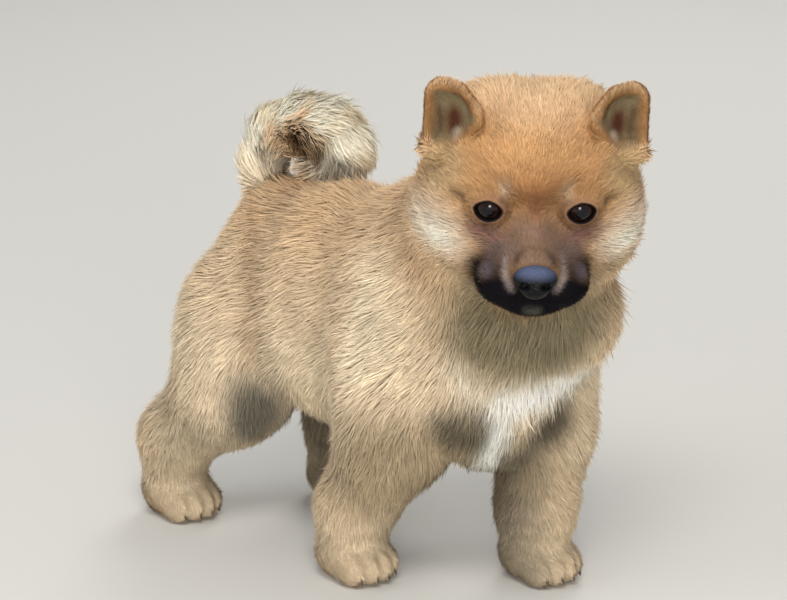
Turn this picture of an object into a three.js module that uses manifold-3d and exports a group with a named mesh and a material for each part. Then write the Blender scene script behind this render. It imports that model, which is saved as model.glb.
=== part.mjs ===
// A life-size standing shiba inu puppy, about seven weeks old, its head turned to its right.
// Millimetres, +Z up, the dog faces -Y and its left side is +X. The floor is z = 0.
// The coat's outer surface is one smooth field, meshed in pieces that thin cuts keep apart.
import * as THREE from "three";
import { mergeVertices } from "three/addons/utils/BufferGeometryUtils.js";
import Module from "manifold-3d";

const wasm = await Module();
wasm.setup();

// Driving dimensions
const GAP = 0.3; // between neighbouring pieces
const SEAT = 0.9; // room left over the coat's surface, whose mesh is only near it, for what sits on it
const HEAD_CENTRE = [-5.1, -113.5, 206];
const HEAD_YAW = -42; // degrees, towards the dog's right
const HEAD_PITCH = 14; // degrees, nose down
const HEAD_ROLL = 1.5; // degrees, left ear lower
const EYE_RADIUS = 8;
const EYE_AT = [19.8, -34.5, 8]; // in the head's frame, the dog's left eye
const LID_THICKNESS = 1.7;
const EYE_OPENING = [6.6, 4.9]; // half width and half height between the lids
const COAT_RECESS = 4.5; // how far the core lies under the coat's tips where locks grow
const SHORTEST = 0.02; // edges under this are always closed up
const THINNING = 0.13; // how far the mesh may leave the field where it is made coarser, in cells
const NOSE_AT = [0, -69, -10.5];
const PAWS = {
  front_right: [-37, -26],
  front_left: [28, -86],
  hind_right: [-43, 101],
  hind_left: [34, 62],
};

// Vectors
const add = (a, b) => [a[0] + b[0], a[1] + b[1], a[2] + b[2]];
const sub = (a, b) => [a[0] - b[0], a[1] - b[1], a[2] - b[2]];
const mul = (a, s) => [a[0] * s, a[1] * s, a[2] * s];
const dot = (a, b) => a[0] * b[0] + a[1] * b[1] + a[2] * b[2];
const cross = (a, b) => [
  a[1] * b[2] - a[2] * b[1],
  a[2] * b[0] - a[0] * b[2],
  a[0] * b[1] - a[1] * b[0],
];
const length = (a) => Math.sqrt(dot(a, a));
const unit = (a) => mul(a, 1 / length(a));
const mix = (a, b, t) => add(mul(a, 1 - t), mul(b, t));
const mirrored = (p, side) => [p[0] * side, p[1], p[2]];

// Fields: each takes a point and gives its distance outside the shape, negative inside
function ellipsoid(centre, radii) {
  return (p) => {
    const q = sub(p, centre);
    const scaled = q.map((v, i) => v / radii[i]);
    const k0 = length(scaled);
    const k1 = length(scaled.map((v, i) => v / radii[i]));
    return k1 < 1e-9 ? -Math.min(...radii) : (k0 * (k0 - 1)) / k1;
  };
}

function limb(from, to, startRadius, endRadius) {
  const along = sub(to, from);
  const squared = dot(along, along);
  return (p) => {
    const q = sub(p, from);
    const t = Math.min(1, Math.max(0, dot(q, along) / squared));
    return length(sub(q, mul(along, t))) - (startRadius + (endRadius - startRadius) * t);
  };
}

function blended(radius, fields) {
  return (p) =>
    fields.map((f) => f(p)).reduce((a, b) => {
      const h = Math.max(0, radius - Math.abs(a - b)) / radius;
      return Math.min(a, b) - (h * h * radius) / 4;
    });
}

function carved(radius, field, hollow) {
  return (p) => {
    const a = field(p);
    const b = -hollow(p);
    const h = Math.max(0, radius - Math.abs(a - b)) / radius;
    return Math.max(a, b) + (h * h * radius) / 4;
  };
}

// The head's own frame: -Y is the way the nose points
const headMatrix = new THREE.Matrix4()
  .makeTranslation(...HEAD_CENTRE)
  .multiply(new THREE.Matrix4().makeRotationZ(THREE.MathUtils.degToRad(HEAD_YAW)))
  .multiply(new THREE.Matrix4().makeRotationX(THREE.MathUtils.degToRad(HEAD_PITCH)))
  .multiply(new THREE.Matrix4().makeRotationY(THREE.MathUtils.degToRad(HEAD_ROLL)));
const headInverse = headMatrix.clone().invert();
const moved = (p, matrix) => new THREE.Vector3(...p).applyMatrix4(matrix).toArray();
const fromHead = (p) => moved(p, headMatrix);
const inHead = (field) => (p) => field(moved(p, headInverse));

const pair = (make) => [1, -1].map(make);

// The head without its ears, in its own frame
function headField() {
  const skull = blended(14, [
    ellipsoid([0, 4, 4], [46, 48, 42]),
    ellipsoid([0, -13, 10], [34, 29, 32]),
    ...pair((s) => ellipsoid([19 * s, 9, 13], [26, 29, 34])),
    ...pair((s) => ellipsoid([27 * s, -2, -16], [27, 31, 29])),
  ]);
  const muzzle = blended(8, [
    limb([0, -34, -15], [0, -56, -14], 21, 11.5),
    ...pair((s) => ellipsoid([12 * s, -48, -22], [14.5, 17.5, 11.5])),
    ellipsoid([0, -47, -30], [15, 15, 9.5]),
  ]);
  const whole = blended(12, [skull, muzzle]);
  const sockets = pair((s) => ellipsoid([20 * s, -46, 7], [12, 9, 9]));
  return sockets.reduce((field, socket) => carved(8, field, socket), whole);
}

const neckField = blended(16, [
  limb([0, -44, 150], [-4, -90, 180], 44, 42),
  limb([3, -76, 120], [0, -100, 160], 44, 44),
  ellipsoid([22, -108, 138], [28, 30, 28]),
]);

function torsoField() {
  return blended(20, [
    ellipsoid([1, -42, 124], [50, 52, 65]),
    ellipsoid([0, 14, 121], [48, 54, 63]),
    ellipsoid([0, 60, 124], [44, 38, 53]),
    ellipsoid([2, -84, 102], [38, 26, 43]),
    ellipsoid([44, -72, 106], [22, 30, 38]),
    ellipsoid([-30, -46, 104], [24, 30, 42]),
    ...pair((s) => ellipsoid([28 * s, 70, 94], [24, 39, 42])),
  ]);
}

function frontLegField(side, paw) {
  const shoulder = side < 0 ? [-27, -50, 100] : [42, -74, 100];
  const elbow = side < 0 ? [-29, -45, 70] : [38, -80, 72];
  const wrist = [paw[0] + (side < 0 ? 4 : 2), paw[1] + 2, 34];
  return blended(8, [
    limb(shoulder, elbow, 25, 25.5),
    limb(elbow, wrist, 25.5, 19.5),
    limb(wrist, [paw[0], paw[1] + 2, 18], 19.5, 15),
    pawField(paw),
  ]);
}

function hindLegField(side, paw) {
  const knee = [32 * side, paw[1] - 30, 70];
  const hock = [paw[0], paw[1], 42];
  return blended(8, [
    limb([28 * side, 68, 108], knee, 30, 28),
    limb(knee, hock, 28, 19.5),
    limb(hock, [paw[0], paw[1] + 3, 18], 19.5, 16),
    pawField(paw),
  ]);
}

const TOES = [-1.5, -0.5, 0.5, 1.5];
const toeAt = (paw, n) => [paw[0] + 7.2 * n, paw[1] - 15 + 2.2 * Math.abs(n) ** 1.5, 8.5];
function pawField(paw) {
  const pad = ellipsoid([paw[0], paw[1], 11], [16, 19, 13]);
  return blended(4, [pad, ...TOES.map((n) => ellipsoid(toeAt(paw, n), [5.6, 9.5, 9]))]);
}

const coatField = blended(16, [
  torsoField(),
  frontLegField(-1, PAWS.front_right),
  frontLegField(1, PAWS.front_left),
  hindLegField(-1, PAWS.hind_right),
  hindLegField(1, PAWS.hind_left),
  neckField,
  inHead(headField()),
]);

// Where locks grow, the coat has a core of its own, deeper than the tips
const LOCK_ZONES = [
  { centre: [0, -104, 124], radii: [80, 46, 56] },
  { centre: fromHead([46, 2, -20]), radii: [26, 32, 30] },
  { centre: fromHead([-46, 2, -20]), radii: [26, 32, 30] },
  { centre: [-40, 122, 92], radii: [34, 34, 42] },
  { centre: [36, 108, 92], radii: [34, 34, 42] },
];
const zoneFields = LOCK_ZONES.map(({ centre, radii }) => ellipsoid(centre, radii));
function bodyField(p) {
  const depth = Math.max(...zoneFields.map((field) => -field(p)));
  const t = Math.min(1, Math.max(0, depth / 9));
  return coatField(p) + COAT_RECESS * t * t * (3 - 2 * t);
}

// An ear is a thick plate with round corners that leans forward, hollowed into a cup in front.
// Its outline is in the plate's own plane: first towards the middle of the head, then up.
const EAR = {
  root: [38, -14, 33.5],
  up: [0.06, 0.02, 1],
  front: [0.3, -0.95, 0],
  corners: [[-6, -9], [11.5, 8.5], [4, 16.5], [-4, 17.8]],
  outline: 3.4,
  edge: 3,
  half: 1.2,
};
function earMatrix(side) {
  const up = new THREE.Vector3(...mirrored(EAR.up, side)).normalize();
  const front = new THREE.Vector3(...mirrored(EAR.front, side));
  const across = new THREE.Vector3().crossVectors(up, front).normalize().multiplyScalar(-side);
  front.crossVectors(across, up).multiplyScalar(-side).normalize();
  const basis = new THREE.Matrix4().makeBasis(across, up, front);
  return basis.setPosition(...mirrored(EAR.root, side)).premultiply(headMatrix);
}

// How far a point of the plane is outside an outline whose corners run anticlockwise
function outlineDistance(p, corners) {
  let nearest = Infinity;
  let inside = true;
  corners.forEach((a, i) => {
    const b = corners[(i + 1) % corners.length];
    const e = [b[0] - a[0], b[1] - a[1]];
    const q = [p[0] - a[0], p[1] - a[1]];
    const t = Math.min(1, Math.max(0, (q[0] * e[0] + q[1] * e[1]) / (e[0] ** 2 + e[1] ** 2)));
    nearest = Math.min(nearest, Math.hypot(q[0] - e[0] * t, q[1] - e[1] * t));
    if (e[0] * q[1] - e[1] * q[0] < 0) inside = false;
  });
  return inside ? -nearest : nearest;
}

function earField(side) {
  const inverse = earMatrix(side).invert();
  const plate = ([u, v, w]) => {
    const curled = w - 0.016 * u * u;
    const q = [outlineDistance([u, v], EAR.corners) - EAR.outline, Math.abs(curled) - EAR.half];
    const outside = Math.hypot(Math.max(q[0], 0), Math.max(q[1], 0));
    return outside + Math.min(Math.max(...q), 0) - EAR.edge;
  };
  const cup = blended(4, [
    ellipsoid([1, 9.5, 7], [10.5, 12.5, 8]),
    ellipsoid([-1, -1, 6], [7, 9, 7.5]),
  ]);
  const ear = carved(2.5, plate, cup);
  return (p) => ear(moved(p, inverse));
}

// The tail's centre line and its radius out to the hair's tips, from the root round over the back
const TAIL = [
  [2, 76, 156, 15],
  [3, 85, 176, 13.5],
  [6, 81, 195, 13],
  [12, 64, 203.5, 13],
  [16, 47, 202.5, 13],
  [19, 39, 193, 13],
  [18, 42, 184, 12],
  [14, 49, 180, 9],
];
const TAIL_CORE = 0.68; // the core's share of the radius, away from the root
const coreRadius = (i) => TAIL[i][3] * (i === 0 ? 1 : TAIL_CORE);
const tailPoint = (i) => TAIL[i].slice(0, 3);
function tailField(first, last) {
  const limbs = [];
  for (let i = first; i < last; i++)
    limbs.push(limb(tailPoint(i), tailPoint(i + 1), coreRadius(i), coreRadius(i + 1)));
  return blended(6, limbs);
}

// The nose leather, with its two nostrils
function noseField() {
  const leather = blended(3, [
    ellipsoid(NOSE_AT, [9.8, 6, 5.6]),
    ellipsoid(add(NOSE_AT, [0, -0.5, -4.5]), [6.5, 5.5, 5]),
  ]);
  const nostrils = pair((s) =>
    blended(1, [
      ellipsoid(add(NOSE_AT, [4.6 * s, -6, -1.6]), [2.3, 3.2, 1.9]),
      ellipsoid(add(NOSE_AT, [7.2 * s, -4.2, -3]), [2.4, 3, 1.1]),
    ]),
  );
  return nostrils.reduce((field, nostril) => carved(0.8, field, nostril), leather);
}

// The eight corners of a grid cell, and whether those of one sign hang together along its edges
const CORNERS = [0, 1, 2, 3, 4, 5, 6, 7].map((c) => [c & 1, (c >> 1) & 1, c >> 2]);
function connected(mask) {
  let reached = mask & -mask;
  for (let round = 0; round < 7; round++)
    for (let c = 0; c < 8; c++)
      if (reached & (1 << c)) for (const bit of [1, 2, 4]) reached |= mask & (1 << (c ^ bit));
  return reached === mask;
}
const CLEAR = Array.from({ length: 256 }, (_, mask) => connected(mask) && connected(255 - mask));

// Surface nets: a closed mesh of the field inside a box, with cells of the given size
function meshOf(field, low, high, cell) {
  const n = low.map((v, i) => Math.ceil((high[i] - v) / cell) + 1);
  const at = (i, j, k) => (k * n[1] + j) * n[0] + i;
  const place = (i, j, k) => [low[0] + i * cell, low[1] + j * cell, low[2] + k * cell];
  const values = new Float64Array(n[0] * n[1] * n[2]);
  const each = (from, to, visit) => {
    for (let k = from[2]; k < to[2]; k++)
      for (let j = from[1]; j < to[1]; j++) for (let i = from[0]; i < to[0]; i++) visit(i, j, k);
  };
  each([0, 0, 0], n, (i, j, k) => {
    const border = [i, j, k].some((v, axis) => v === 0 || v === n[axis] - 1);
    const value = field(place(i, j, k));
    values[at(i, j, k)] = border ? Math.max(cell * 0.5, value) : value;
  });
  const cells = n.map((v) => v - 1);
  const maskOf = (corner) => corner.reduce((m, v, c) => (v < 0 ? m | (1 << c) : m), 0);
  const cornersOf = (i, j, k) => CORNERS.map((c) => values[at(i + c[0], j + c[1], k + c[2])]);

  // Where two sheets meet in one cell, its weakest empty corner is filled, so that the mesh stays closed
  for (let changed = true; changed; ) {
    changed = false;
    each([0, 0, 0], cells, (i, j, k) => {
      const corner = cornersOf(i, j, k);
      if (CLEAR[maskOf(corner)]) return;
      const empty = corner.map((v) => (v < 0 ? Infinity : v));
      const weakest = empty.indexOf(Math.min(...empty));
      const [a, b, c] = CORNERS[weakest];
      values[at(i + a, j + b, k + c)] = -cell * 0.2;
      changed = true;
    });
  }

  const vertexOf = new Map();
  const points = [];
  each([0, 0, 0], cells, (i, j, k) => {
    const corner = cornersOf(i, j, k);
    const mask = maskOf(corner);
    if (mask === 0 || mask === 255) return;
    let sum = [0, 0, 0];
    let count = 0;
    for (let a = 0; a < 8; a++)
      for (const bit of [1, 2, 4]) {
        const b = a | bit;
        if (b === a || corner[a] < 0 === corner[b] < 0) continue;
        sum = add(sum, mix(CORNERS[a], CORNERS[b], corner[a] / (corner[a] - corner[b])));
        count++;
      }
    vertexOf.set(at(i, j, k), points.length);
    points.push(add(place(i, j, k), mul(sum, cell / count)));
  });

  const triangles = [];
  for (const axis of [0, 1, 2]) {
    const step = [0, 1, 2].map((v) => (v === axis ? 1 : 0));
    const [u, w] = [(axis + 1) % 3, (axis + 2) % 3];
    each(step.map((v) => 1 - v), cells, (i, j, k) => {
      const inside = values[at(i, j, k)] < 0;
      if (inside === values[at(i + step[0], j + step[1], k + step[2])] < 0) return;
      const [p, q, r, s] = [[-1, -1], [0, -1], [0, 0], [-1, 0]].map(([du, dw]) => {
        const c = [i, j, k];
        c[u] += du;
        c[w] += dw;
        return vertexOf.get(at(...c));
      });
      const flip = length(sub(points[p], points[r])) > length(sub(points[q], points[s]));
      const halves = flip ? [[p, q, s], [q, r, s]] : [[p, q, r], [p, r, s]];
      for (const half of halves) triangles.push(...(inside ? half : half.reverse()));
    });
  }
  return solidFrom(...thinned(points, triangles, cell * THINNING));
}

// Collapses edges, flattest first, while the surface moves by no more than about the tolerance
const THINNING_ROUNDS = 12;
const LENGTH_COST = 0.002; // longer edges wait a little
const SMALLEST_FACE = 0.05; // twice the area that a moved face may shrink to
const MOST_TURN = 0.3; // cosine of how far a face may turn
function thinned(points, triangles, tolerance) {
  const faces = [];
  for (let i = 0; i < triangles.length; i += 3) faces.push(triangles.slice(i, i + 3));
  const facesAt = points.map(() => new Set());
  faces.forEach((face, f) => face.forEach((v) => facesAt[v].add(f)));
  const normalOf = ([a, b, c]) => cross(sub(b, a), sub(c, a));
  const placesOf = (face) => face.map((v) => points[v]);
  const planes = points.map((_, v) =>
    [...facesAt[v]].map((f) => {
      const normal = normalOf(placesOf(faces[f]));
      const direction = mul(normal, 1 / (length(normal) || 1e-9));
      return { direction, at: dot(direction, points[faces[f][0]]) };
    }),
  );
  const departure = (place, a, b) =>
    [...planes[a], ...planes[b]].reduce(
      (most, plane) => Math.max(most, Math.abs(dot(plane.direction, place) - plane.at)),
      0,
    );
  const neighbours = (v) => new Set([...facesAt[v]].flatMap((f) => faces[f]).filter((w) => w !== v));
  const keepsShape = (v, other, place) =>
    length(sub(points[v], points[other])) < SHORTEST ||
    [...facesAt[v]].every((f) => {
      if (faces[f].includes(other)) return true;
      const before = normalOf(placesOf(faces[f]));
      const after = normalOf(faces[f].map((w) => (w === v ? place : points[w])));
      const turned = dot(before, after) < MOST_TURN * length(before) * length(after);
      return !turned && length(after) > SMALLEST_FACE;
    });
  const candidate = (a, b) => {
    const places = [points[a], points[b], mix(points[a], points[b], 0.5)];
    const costs = places.map((place) => departure(place, a, b));
    const cost = Math.min(...costs);
    return {
      a,
      b,
      cost: cost + LENGTH_COST * length(sub(points[a], points[b])),
      place: places[costs.indexOf(cost)],
    };
  };
  for (let round = 0; round < THINNING_ROUNDS; round++) {
    const edges = [];
    for (const face of faces.filter(Boolean))
      face.forEach((a, i) => {
        const b = face[(i + 1) % 3];
        if (a < b) edges.push(candidate(a, b));
      });
    const cheap = edges.filter((edge) => edge.cost < tolerance).sort((e, g) => e.cost - g.cost);
    const touched = new Set();
    let collapsed = 0;
    for (const { a, b, place } of cheap) {
      if (touched.has(a) || touched.has(b)) continue;
      const nearA = neighbours(a);
      const nearB = neighbours(b);
      if ([...nearA].filter((v) => nearB.has(v)).length !== 2) continue;
      if (!keepsShape(a, b, place) || !keepsShape(b, a, place)) continue;
      points[a] = place;
      planes[a].push(...planes[b]);
      for (const f of [...facesAt[b]]) {
        if (faces[f].includes(a)) {
          for (const v of faces[f]) facesAt[v].delete(f);
          faces[f] = null;
        } else {
          faces[f] = faces[f].map((v) => (v === b ? a : v));
          facesAt[a].add(f);
        }
      }
      facesAt[b].clear();
      for (const v of [a, ...nearA, ...nearB]) touched.add(v);
      collapsed++;
    }
    if (!collapsed) break;
  }
  const kept = points.map((_, v) => v).filter((v) => facesAt[v].size);
  const renumbered = new Map(kept.map((v, i) => [v, i]));
  return [
    kept.flatMap((v) => points[v]),
    faces.filter(Boolean).flatMap((face) => face.map((v) => renumbered.get(v))),
  ];
}

const solidFrom = (vertices, triangles) =>
  new wasm.Manifold(
    new wasm.Mesh({
      numProp: 3,
      vertProperties: new Float32Array(vertices),
      triVerts: new Uint32Array(triangles),
    }),
  );

function solidOf(geometry, matrix = new THREE.Matrix4()) {
  const g = geometry.clone().applyMatrix4(matrix);
  g.deleteAttribute("normal");
  g.deleteAttribute("uv");
  const merged = mergeVertices(g, 1e-3);
  return solidFrom(merged.attributes.position.array, merged.index.array);
}

// A closed strand through rings of points, with a point at each end
function strand(rings, start, end) {
  const sides = rings[0].length;
  const points = [...rings.flat(), start, end];
  const triangles = [];
  rings.forEach((_, r) => {
    for (let i = 0; i < sides; i++) {
      const a = r * sides + i;
      const b = r * sides + ((i + 1) % sides);
      if (r === 0) triangles.push(points.length - 2, b, a);
      if (r === rings.length - 1) triangles.push(a, b, points.length - 1);
      else triangles.push(a, b, b + sides, a, b + sides, a + sides);
    }
  });
  return solidFrom(points.flat(), triangles);
}

// A seeded draw between two values
let seed = 7;
function draw(low, high) {
  seed = (seed * 48271) % 2147483647;
  return low + ((high - low) * seed) / 2147483647;
}

const gradient = (field, p) =>
  unit([0, 1, 2].map((i) => {
    const step = [0, 1, 2].map((v) => (v === i ? 0.5 : 0));
    return field(add(p, step)) - field(sub(p, step));
  }));
const along = (direction, normal) => unit(sub(direction, mul(normal, dot(direction, normal))));

// A flat lock that leaves the surface at its root, bends along the lie and ends in a raised tip
const LOCK_STATIONS = [[0, 0.75], [0.35, 1], [0.7, 0.72]]; // share of the length, share of the width
function lock(field, root, lie, { long, wide, thick, sink, rise, sway = 0 }) {
  const sideways = unit(cross(lie, gradient(field, root)));
  const path = (t) => {
    let p = add(add(root, mul(lie, long * t)), mul(sideways, sway * t * t));
    for (let i = 0; i < 3; i++) {
      const height = -sink + (sink + rise) * t ** 0.55;
      p = sub(p, mul(gradient(field, p), (field(p) - height) * 0.9));
    }
    return p;
  };
  const rings = LOCK_STATIONS.map(([t, share]) => {
    const p = path(t);
    const across = unit(cross(lie, gradient(field, p)));
    const up = mul(unit(cross(across, sub(path(t + 0.04), p))), thick * (1.15 - 0.5 * t));
    const edge = mul(across, wide * share);
    return [add(p, up), add(p, edge), sub(p, up), sub(p, edge)];
  });
  return strand(rings, sub(mul(path(0), 2), path(0.06)), path(1));
}

// Roots lie where rays from an inner point meet the coat
function rootOn(field, from, direction) {
  let [near, far] = [0, 140];
  for (let i = 0; i < 24; i++) {
    const middle = (near + far) / 2;
    if (field(add(from, mul(direction, middle))) < 0) near = middle;
    else far = middle;
  }
  return add(from, mul(direction, near));
}

const largestOf = (solid) => solid.decompose().sort((a, b) => b.volume() - a.volume())[0];
function geometryOf(solid) {
  const mesh = solid.getMesh();
  const vertices = new Float32Array(mesh.numVert * 3);
  for (let i = 0; i < mesh.numVert; i++)
    vertices.set(mesh.vertProperties.subarray(i * mesh.numProp, i * mesh.numProp + 3), i * 3);
  return new THREE.BufferGeometry()
    .setAttribute("position", new THREE.BufferAttribute(vertices, 3))
    .setIndex(new THREE.BufferAttribute(new Uint32Array(mesh.triVerts), 1));
}

// A node keeps its largest closed surface, also once its nearest vertices are merged
const nodes = [];
const addNode = (name, solid, colour, roughness = 0.9) =>
  nodes.push({ name, solid: largestOf(solid), colour, roughness });
function meshFor({ name, solid, colour, roughness }) {
  const { numProp, vertProperties, triVerts } = solid.getMesh();
  const points = [];
  for (let i = 0; i < vertProperties.length; i += numProp)
    points.push([...vertProperties.subarray(i, i + 3)]);
  const cleaned = solidFrom(...thinned(points, [...triVerts], SHORTEST));
  const geometry = geometryOf(largestOf(cleaned));
  geometry.computeVertexNormals();
  const material = new THREE.MeshStandardMaterial({ color: colour, roughness, metalness: 0 });
  const mesh = new THREE.Mesh(geometry, material);
  mesh.name = name;
  return mesh;
}

// Cuts
const offset = (field, distance) => (p) => field(p) - distance;
const beyond = (solid, point, normal) =>
  solid.trimByPlane(unit(normal), dot(point, unit(normal)) + GAP / 2);
const before = (solid, point, normal) => beyond(solid, point, mul(normal, -1));
const HEAD_CUT = [add(HEAD_CENTRE, mul(unit([-0.1, -0.62, 0.78]), -28)), [-0.1, -0.62, 0.78]];
const NECK_CUT = [[0, -71, 159], [0, -0.577, 0.816]];
const MUZZLE_CUT = [fromHead([0, -45, 5]), sub(fromHead([0, -0.95, -0.32]), HEAD_CENTRE)];
const PAW_TOP = 24;
const KNEE_CUT = [[0, 40, 74], [0, 0.35, 0.94]];
const TORSO_CUTS = [-2, 42];

// A wedge that holds one leg: outline in XZ, from the inner side up to the shoulder or hip
function wedge(inner, foot, top, outer, height, from, to, grow) {
  const side = Math.sign(outer);
  const g = grow * side;
  const shape = new THREE.Shape([
    new THREE.Vector2(inner - g, -30),
    new THREE.Vector2(inner - g, foot + grow),
    new THREE.Vector2(top, height + grow),
    new THREE.Vector2(outer, height + grow),
    new THREE.Vector2(outer, -30),
  ]);
  const depth = to - from + 2 * grow;
  const geometry = new THREE.ExtrudeGeometry(shape, { depth, bevelEnabled: false });
  geometry.rotateX(Math.PI / 2).translate(0, to + grow, 0);
  return solidOf(geometry);
}
const WEDGES = {
  front_right: [-9, 56, -58, -95, 104, -105, -4],
  front_left: [5, 56, 66, 95, 104, -140, -36],
  hind_right: [-10, 60, -50, -95, 116, 28, 160],
  hind_left: [10, 60, 50, 95, 116, 20, 150],
};

const COAT = "#c9a06c";
const PALE = "#d8c09a";
const MASK = "#3a3236";
const DARK = "#15151a";
const floorCut = (solid) => solid.trimByPlane([0, 0, 1], 0);

// Locks of the ruff, cheeks, chest and breeches: rows of rays from one inner point each
const degrees = THREE.MathUtils.degToRad;
const ray = (turn, rise) => [
  Math.sin(degrees(turn)) * Math.cos(degrees(rise)),
  -Math.cos(degrees(turn)) * Math.cos(degrees(rise)),
  Math.sin(degrees(rise)),
];
const BODY_LOCK = { long: 32, wide: 8, thick: 1.6, sink: 8, rise: 2.5 };
const LOCK_ROWS = [
  { from: [0, -84, 138], rise: 14, turns: [-54, 76, 21], lie: [0, -0.1, -1] },
  { from: [0, -84, 130], rise: -8, turns: [-60, 72, 22], lie: [0, -0.05, -1] },
  { from: [0, -84, 124], rise: -28, turns: [-40, 48, 24], lie: [0, 0, -1] },
  { from: [-36, 88, 100], rise: 16, turns: [-176, -112, 30], lie: [0, 0.15, -1] },
  { from: [-36, 88, 96], rise: -12, turns: [-170, -118, 26], lie: [0, 0.1, -1] },
  { from: [34, 76, 100], rise: 16, turns: [112, 176, 30], lie: [0, 0.15, -1] },
  { from: [34, 76, 96], rise: -12, turns: [118, 170, 26], lie: [0, 0.1, -1] },
];
const locks = [];
LOCK_ROWS.forEach(({ from, rise, turns: [first, last, step], lie }) => {
  for (let turn = first; turn <= last; turn += step) {
    const root = rootOn(coatField, from, ray(turn + draw(-4, 4), rise + draw(-4, 4)));
    const normal = gradient(coatField, root);
    const size = { ...BODY_LOCK, long: BODY_LOCK.long * draw(0.85, 1.1), sway: draw(-6, 6) };
    locks.push(lock(coatField, root, along(lie, normal), size));
  }
});
const CHEEK_LOCK = { long: 24, wide: 6.5, thick: 1.5, sink: 7, rise: 2.5 };
for (const side of [1, -1])
  for (const [turn, rise] of [[70, -2], [92, -8], [68, -26], [92, -32], [78, -50]]) {
    const outward = moved(ray(turn * side, rise), headMatrix);
    const root = rootOn(coatField, fromHead([20 * side, 0, -10]), sub(outward, HEAD_CENTRE));
    const normal = gradient(coatField, root);
    const lie = along(sub(fromHead([0.3 * side, 0.55, -0.8]), HEAD_CENTRE), normal);
    locks.push(lock(coatField, root, lie, { ...CHEEK_LOCK, sway: draw(-3, 3) }));
  }
const overlaps = (a, b) => a.min.every((v, i) => v < b.max[i] && b.min[i] < a.max[i]);
const joined = (solid, pieces) =>
  pieces
    .filter((piece) => overlaps(piece.boundingBox(), solid.boundingBox()))
    .reduce((whole, piece) => whole.add(piece), solid);
const withLocks = (solid) => joined(solid, locks);

// Torso
const TORSO_BOX = [[-66, -125, 40], [76, 128, 200]];
let torso = before(withLocks(meshOf(bodyField, ...TORSO_BOX, 8)), ...NECK_CUT);
for (const w of Object.values(WEDGES)) torso = torso.subtract(wedge(...w, GAP / 2));
const [chestEnd, rumpStart] = TORSO_CUTS.map((y) => [[0, y, 0], [0, 1, 0]]);
addNode("chest", before(torso, ...chestEnd), COAT);
addNode("belly", before(beyond(torso, ...chestEnd), ...rumpStart), COAT);
addNode("rump", beyond(torso, ...rumpStart), COAT);

// A claw at the front of each toe
const CLAW = { radius: 1.9, rootLength: 3, length: 7.5 };
function claw([x, y, z]) {
  const axis = unit([0, -0.86, -0.5]);
  const root = [x, y - 5, z - 0.5];
  const at = (t) => add(root, mul(axis, t));
  const rings = [0, CLAW.rootLength].map((t) => [
    add(at(t), [CLAW.radius, 0, 0]),
    add(at(t), mul([0, -0.5, 0.86], CLAW.radius)),
    add(at(t), [-CLAW.radius, 0, 0]),
    add(at(t), mul([0, -0.5, 0.86], -CLAW.radius)),
  ]);
  return strand(rings, at(-1), at(CLAW.length));
}

// Legs and paws
for (const [name, paw] of Object.entries(PAWS)) {
  const [inner, , , outer, height, from, to] = WEDGES[name];
  const low = [Math.min(inner, outer), Math.max(from, paw[1] - 75) - 6, -6];
  const high = [Math.max(inner, outer), Math.min(to, paw[1] + 75) + 6, height + 6];
  const cutter = wedge(...WEDGES[name], -GAP / 2);
  const whole = withLocks(meshOf(bodyField, low, high, 6)).intersect(cutter);
  const leg = whole.trimByPlane([0, 0, 1], PAW_TOP + GAP / 2);
  if (name.startsWith("hind")) {
    addNode(`${name}_thigh`, beyond(leg, ...KNEE_CUT), COAT);
    addNode(`${name}_leg`, before(leg, ...KNEE_CUT), COAT);
  } else addNode(`${name}_leg`, leg, COAT);
  const box = [[paw[0] - 28, paw[1] - 34, -6], [paw[0] + 28, paw[1] + 36, 34]];
  let foot = floorCut(meshOf(bodyField, ...box, 3.6));
  for (const n of TOES) foot = foot.add(claw(toeAt(paw, n)));
  addNode(`${name}_paw`, foot.trimByPlane([0, 0, -1], GAP / 2 - PAW_TOP), PALE);
}

// Neck
const neck = withLocks(meshOf(bodyField, [-62, -150, 90], [62, -15, 225], 7));
addNode("neck", before(beyond(neck, ...NECK_CUT), ...HEAD_CUT), COAT);

// Head with its lids, muzzle with the line of the mouth, eyes and nose
const HEAD_BOX = [[-70, -185, 140], [60, -55, 265]];
const NOSE_BOX = [[-72, -185, 160], [-20, -140, 205]];
const nose = meshOf(inHead(noseField()), ...NOSE_BOX, 2);
const noseRoom = meshOf(inHead(offset(noseField(), GAP)), ...NOSE_BOX, 2);
const eyeMatrix = (side) =>
  new THREE.Matrix4().makeTranslation(...mirrored(EYE_AT, side)).premultiply(headMatrix);
const ball = (radius, side) => solidOf(new THREE.SphereGeometry(radius, 18, 12), eyeMatrix(side));

// The opening between the lids: an almond pushed out from the eye's centre
function opening(side) {
  const [wide, high] = EYE_OPENING;
  const outline = Array.from({ length: 14 }, (_, i) => {
    const t = (i / 14) * 2 * Math.PI;
    return new THREE.Vector2(wide * Math.cos(t), high * Math.sin(t) * Math.abs(Math.sin(t)) ** 0.25);
  });
  const geometry = new THREE.ExtrudeGeometry(new THREE.Shape(outline), { depth: 30, bevelEnabled: false });
  const turn = new THREE.Matrix4().makeRotationFromEuler(
    new THREE.Euler(Math.PI / 2 - 0.12, side * 0.3, side * 0.12, "ZYX"),
  );
  return solidOf(geometry, turn.premultiply(eyeMatrix(side)));
}

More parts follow.
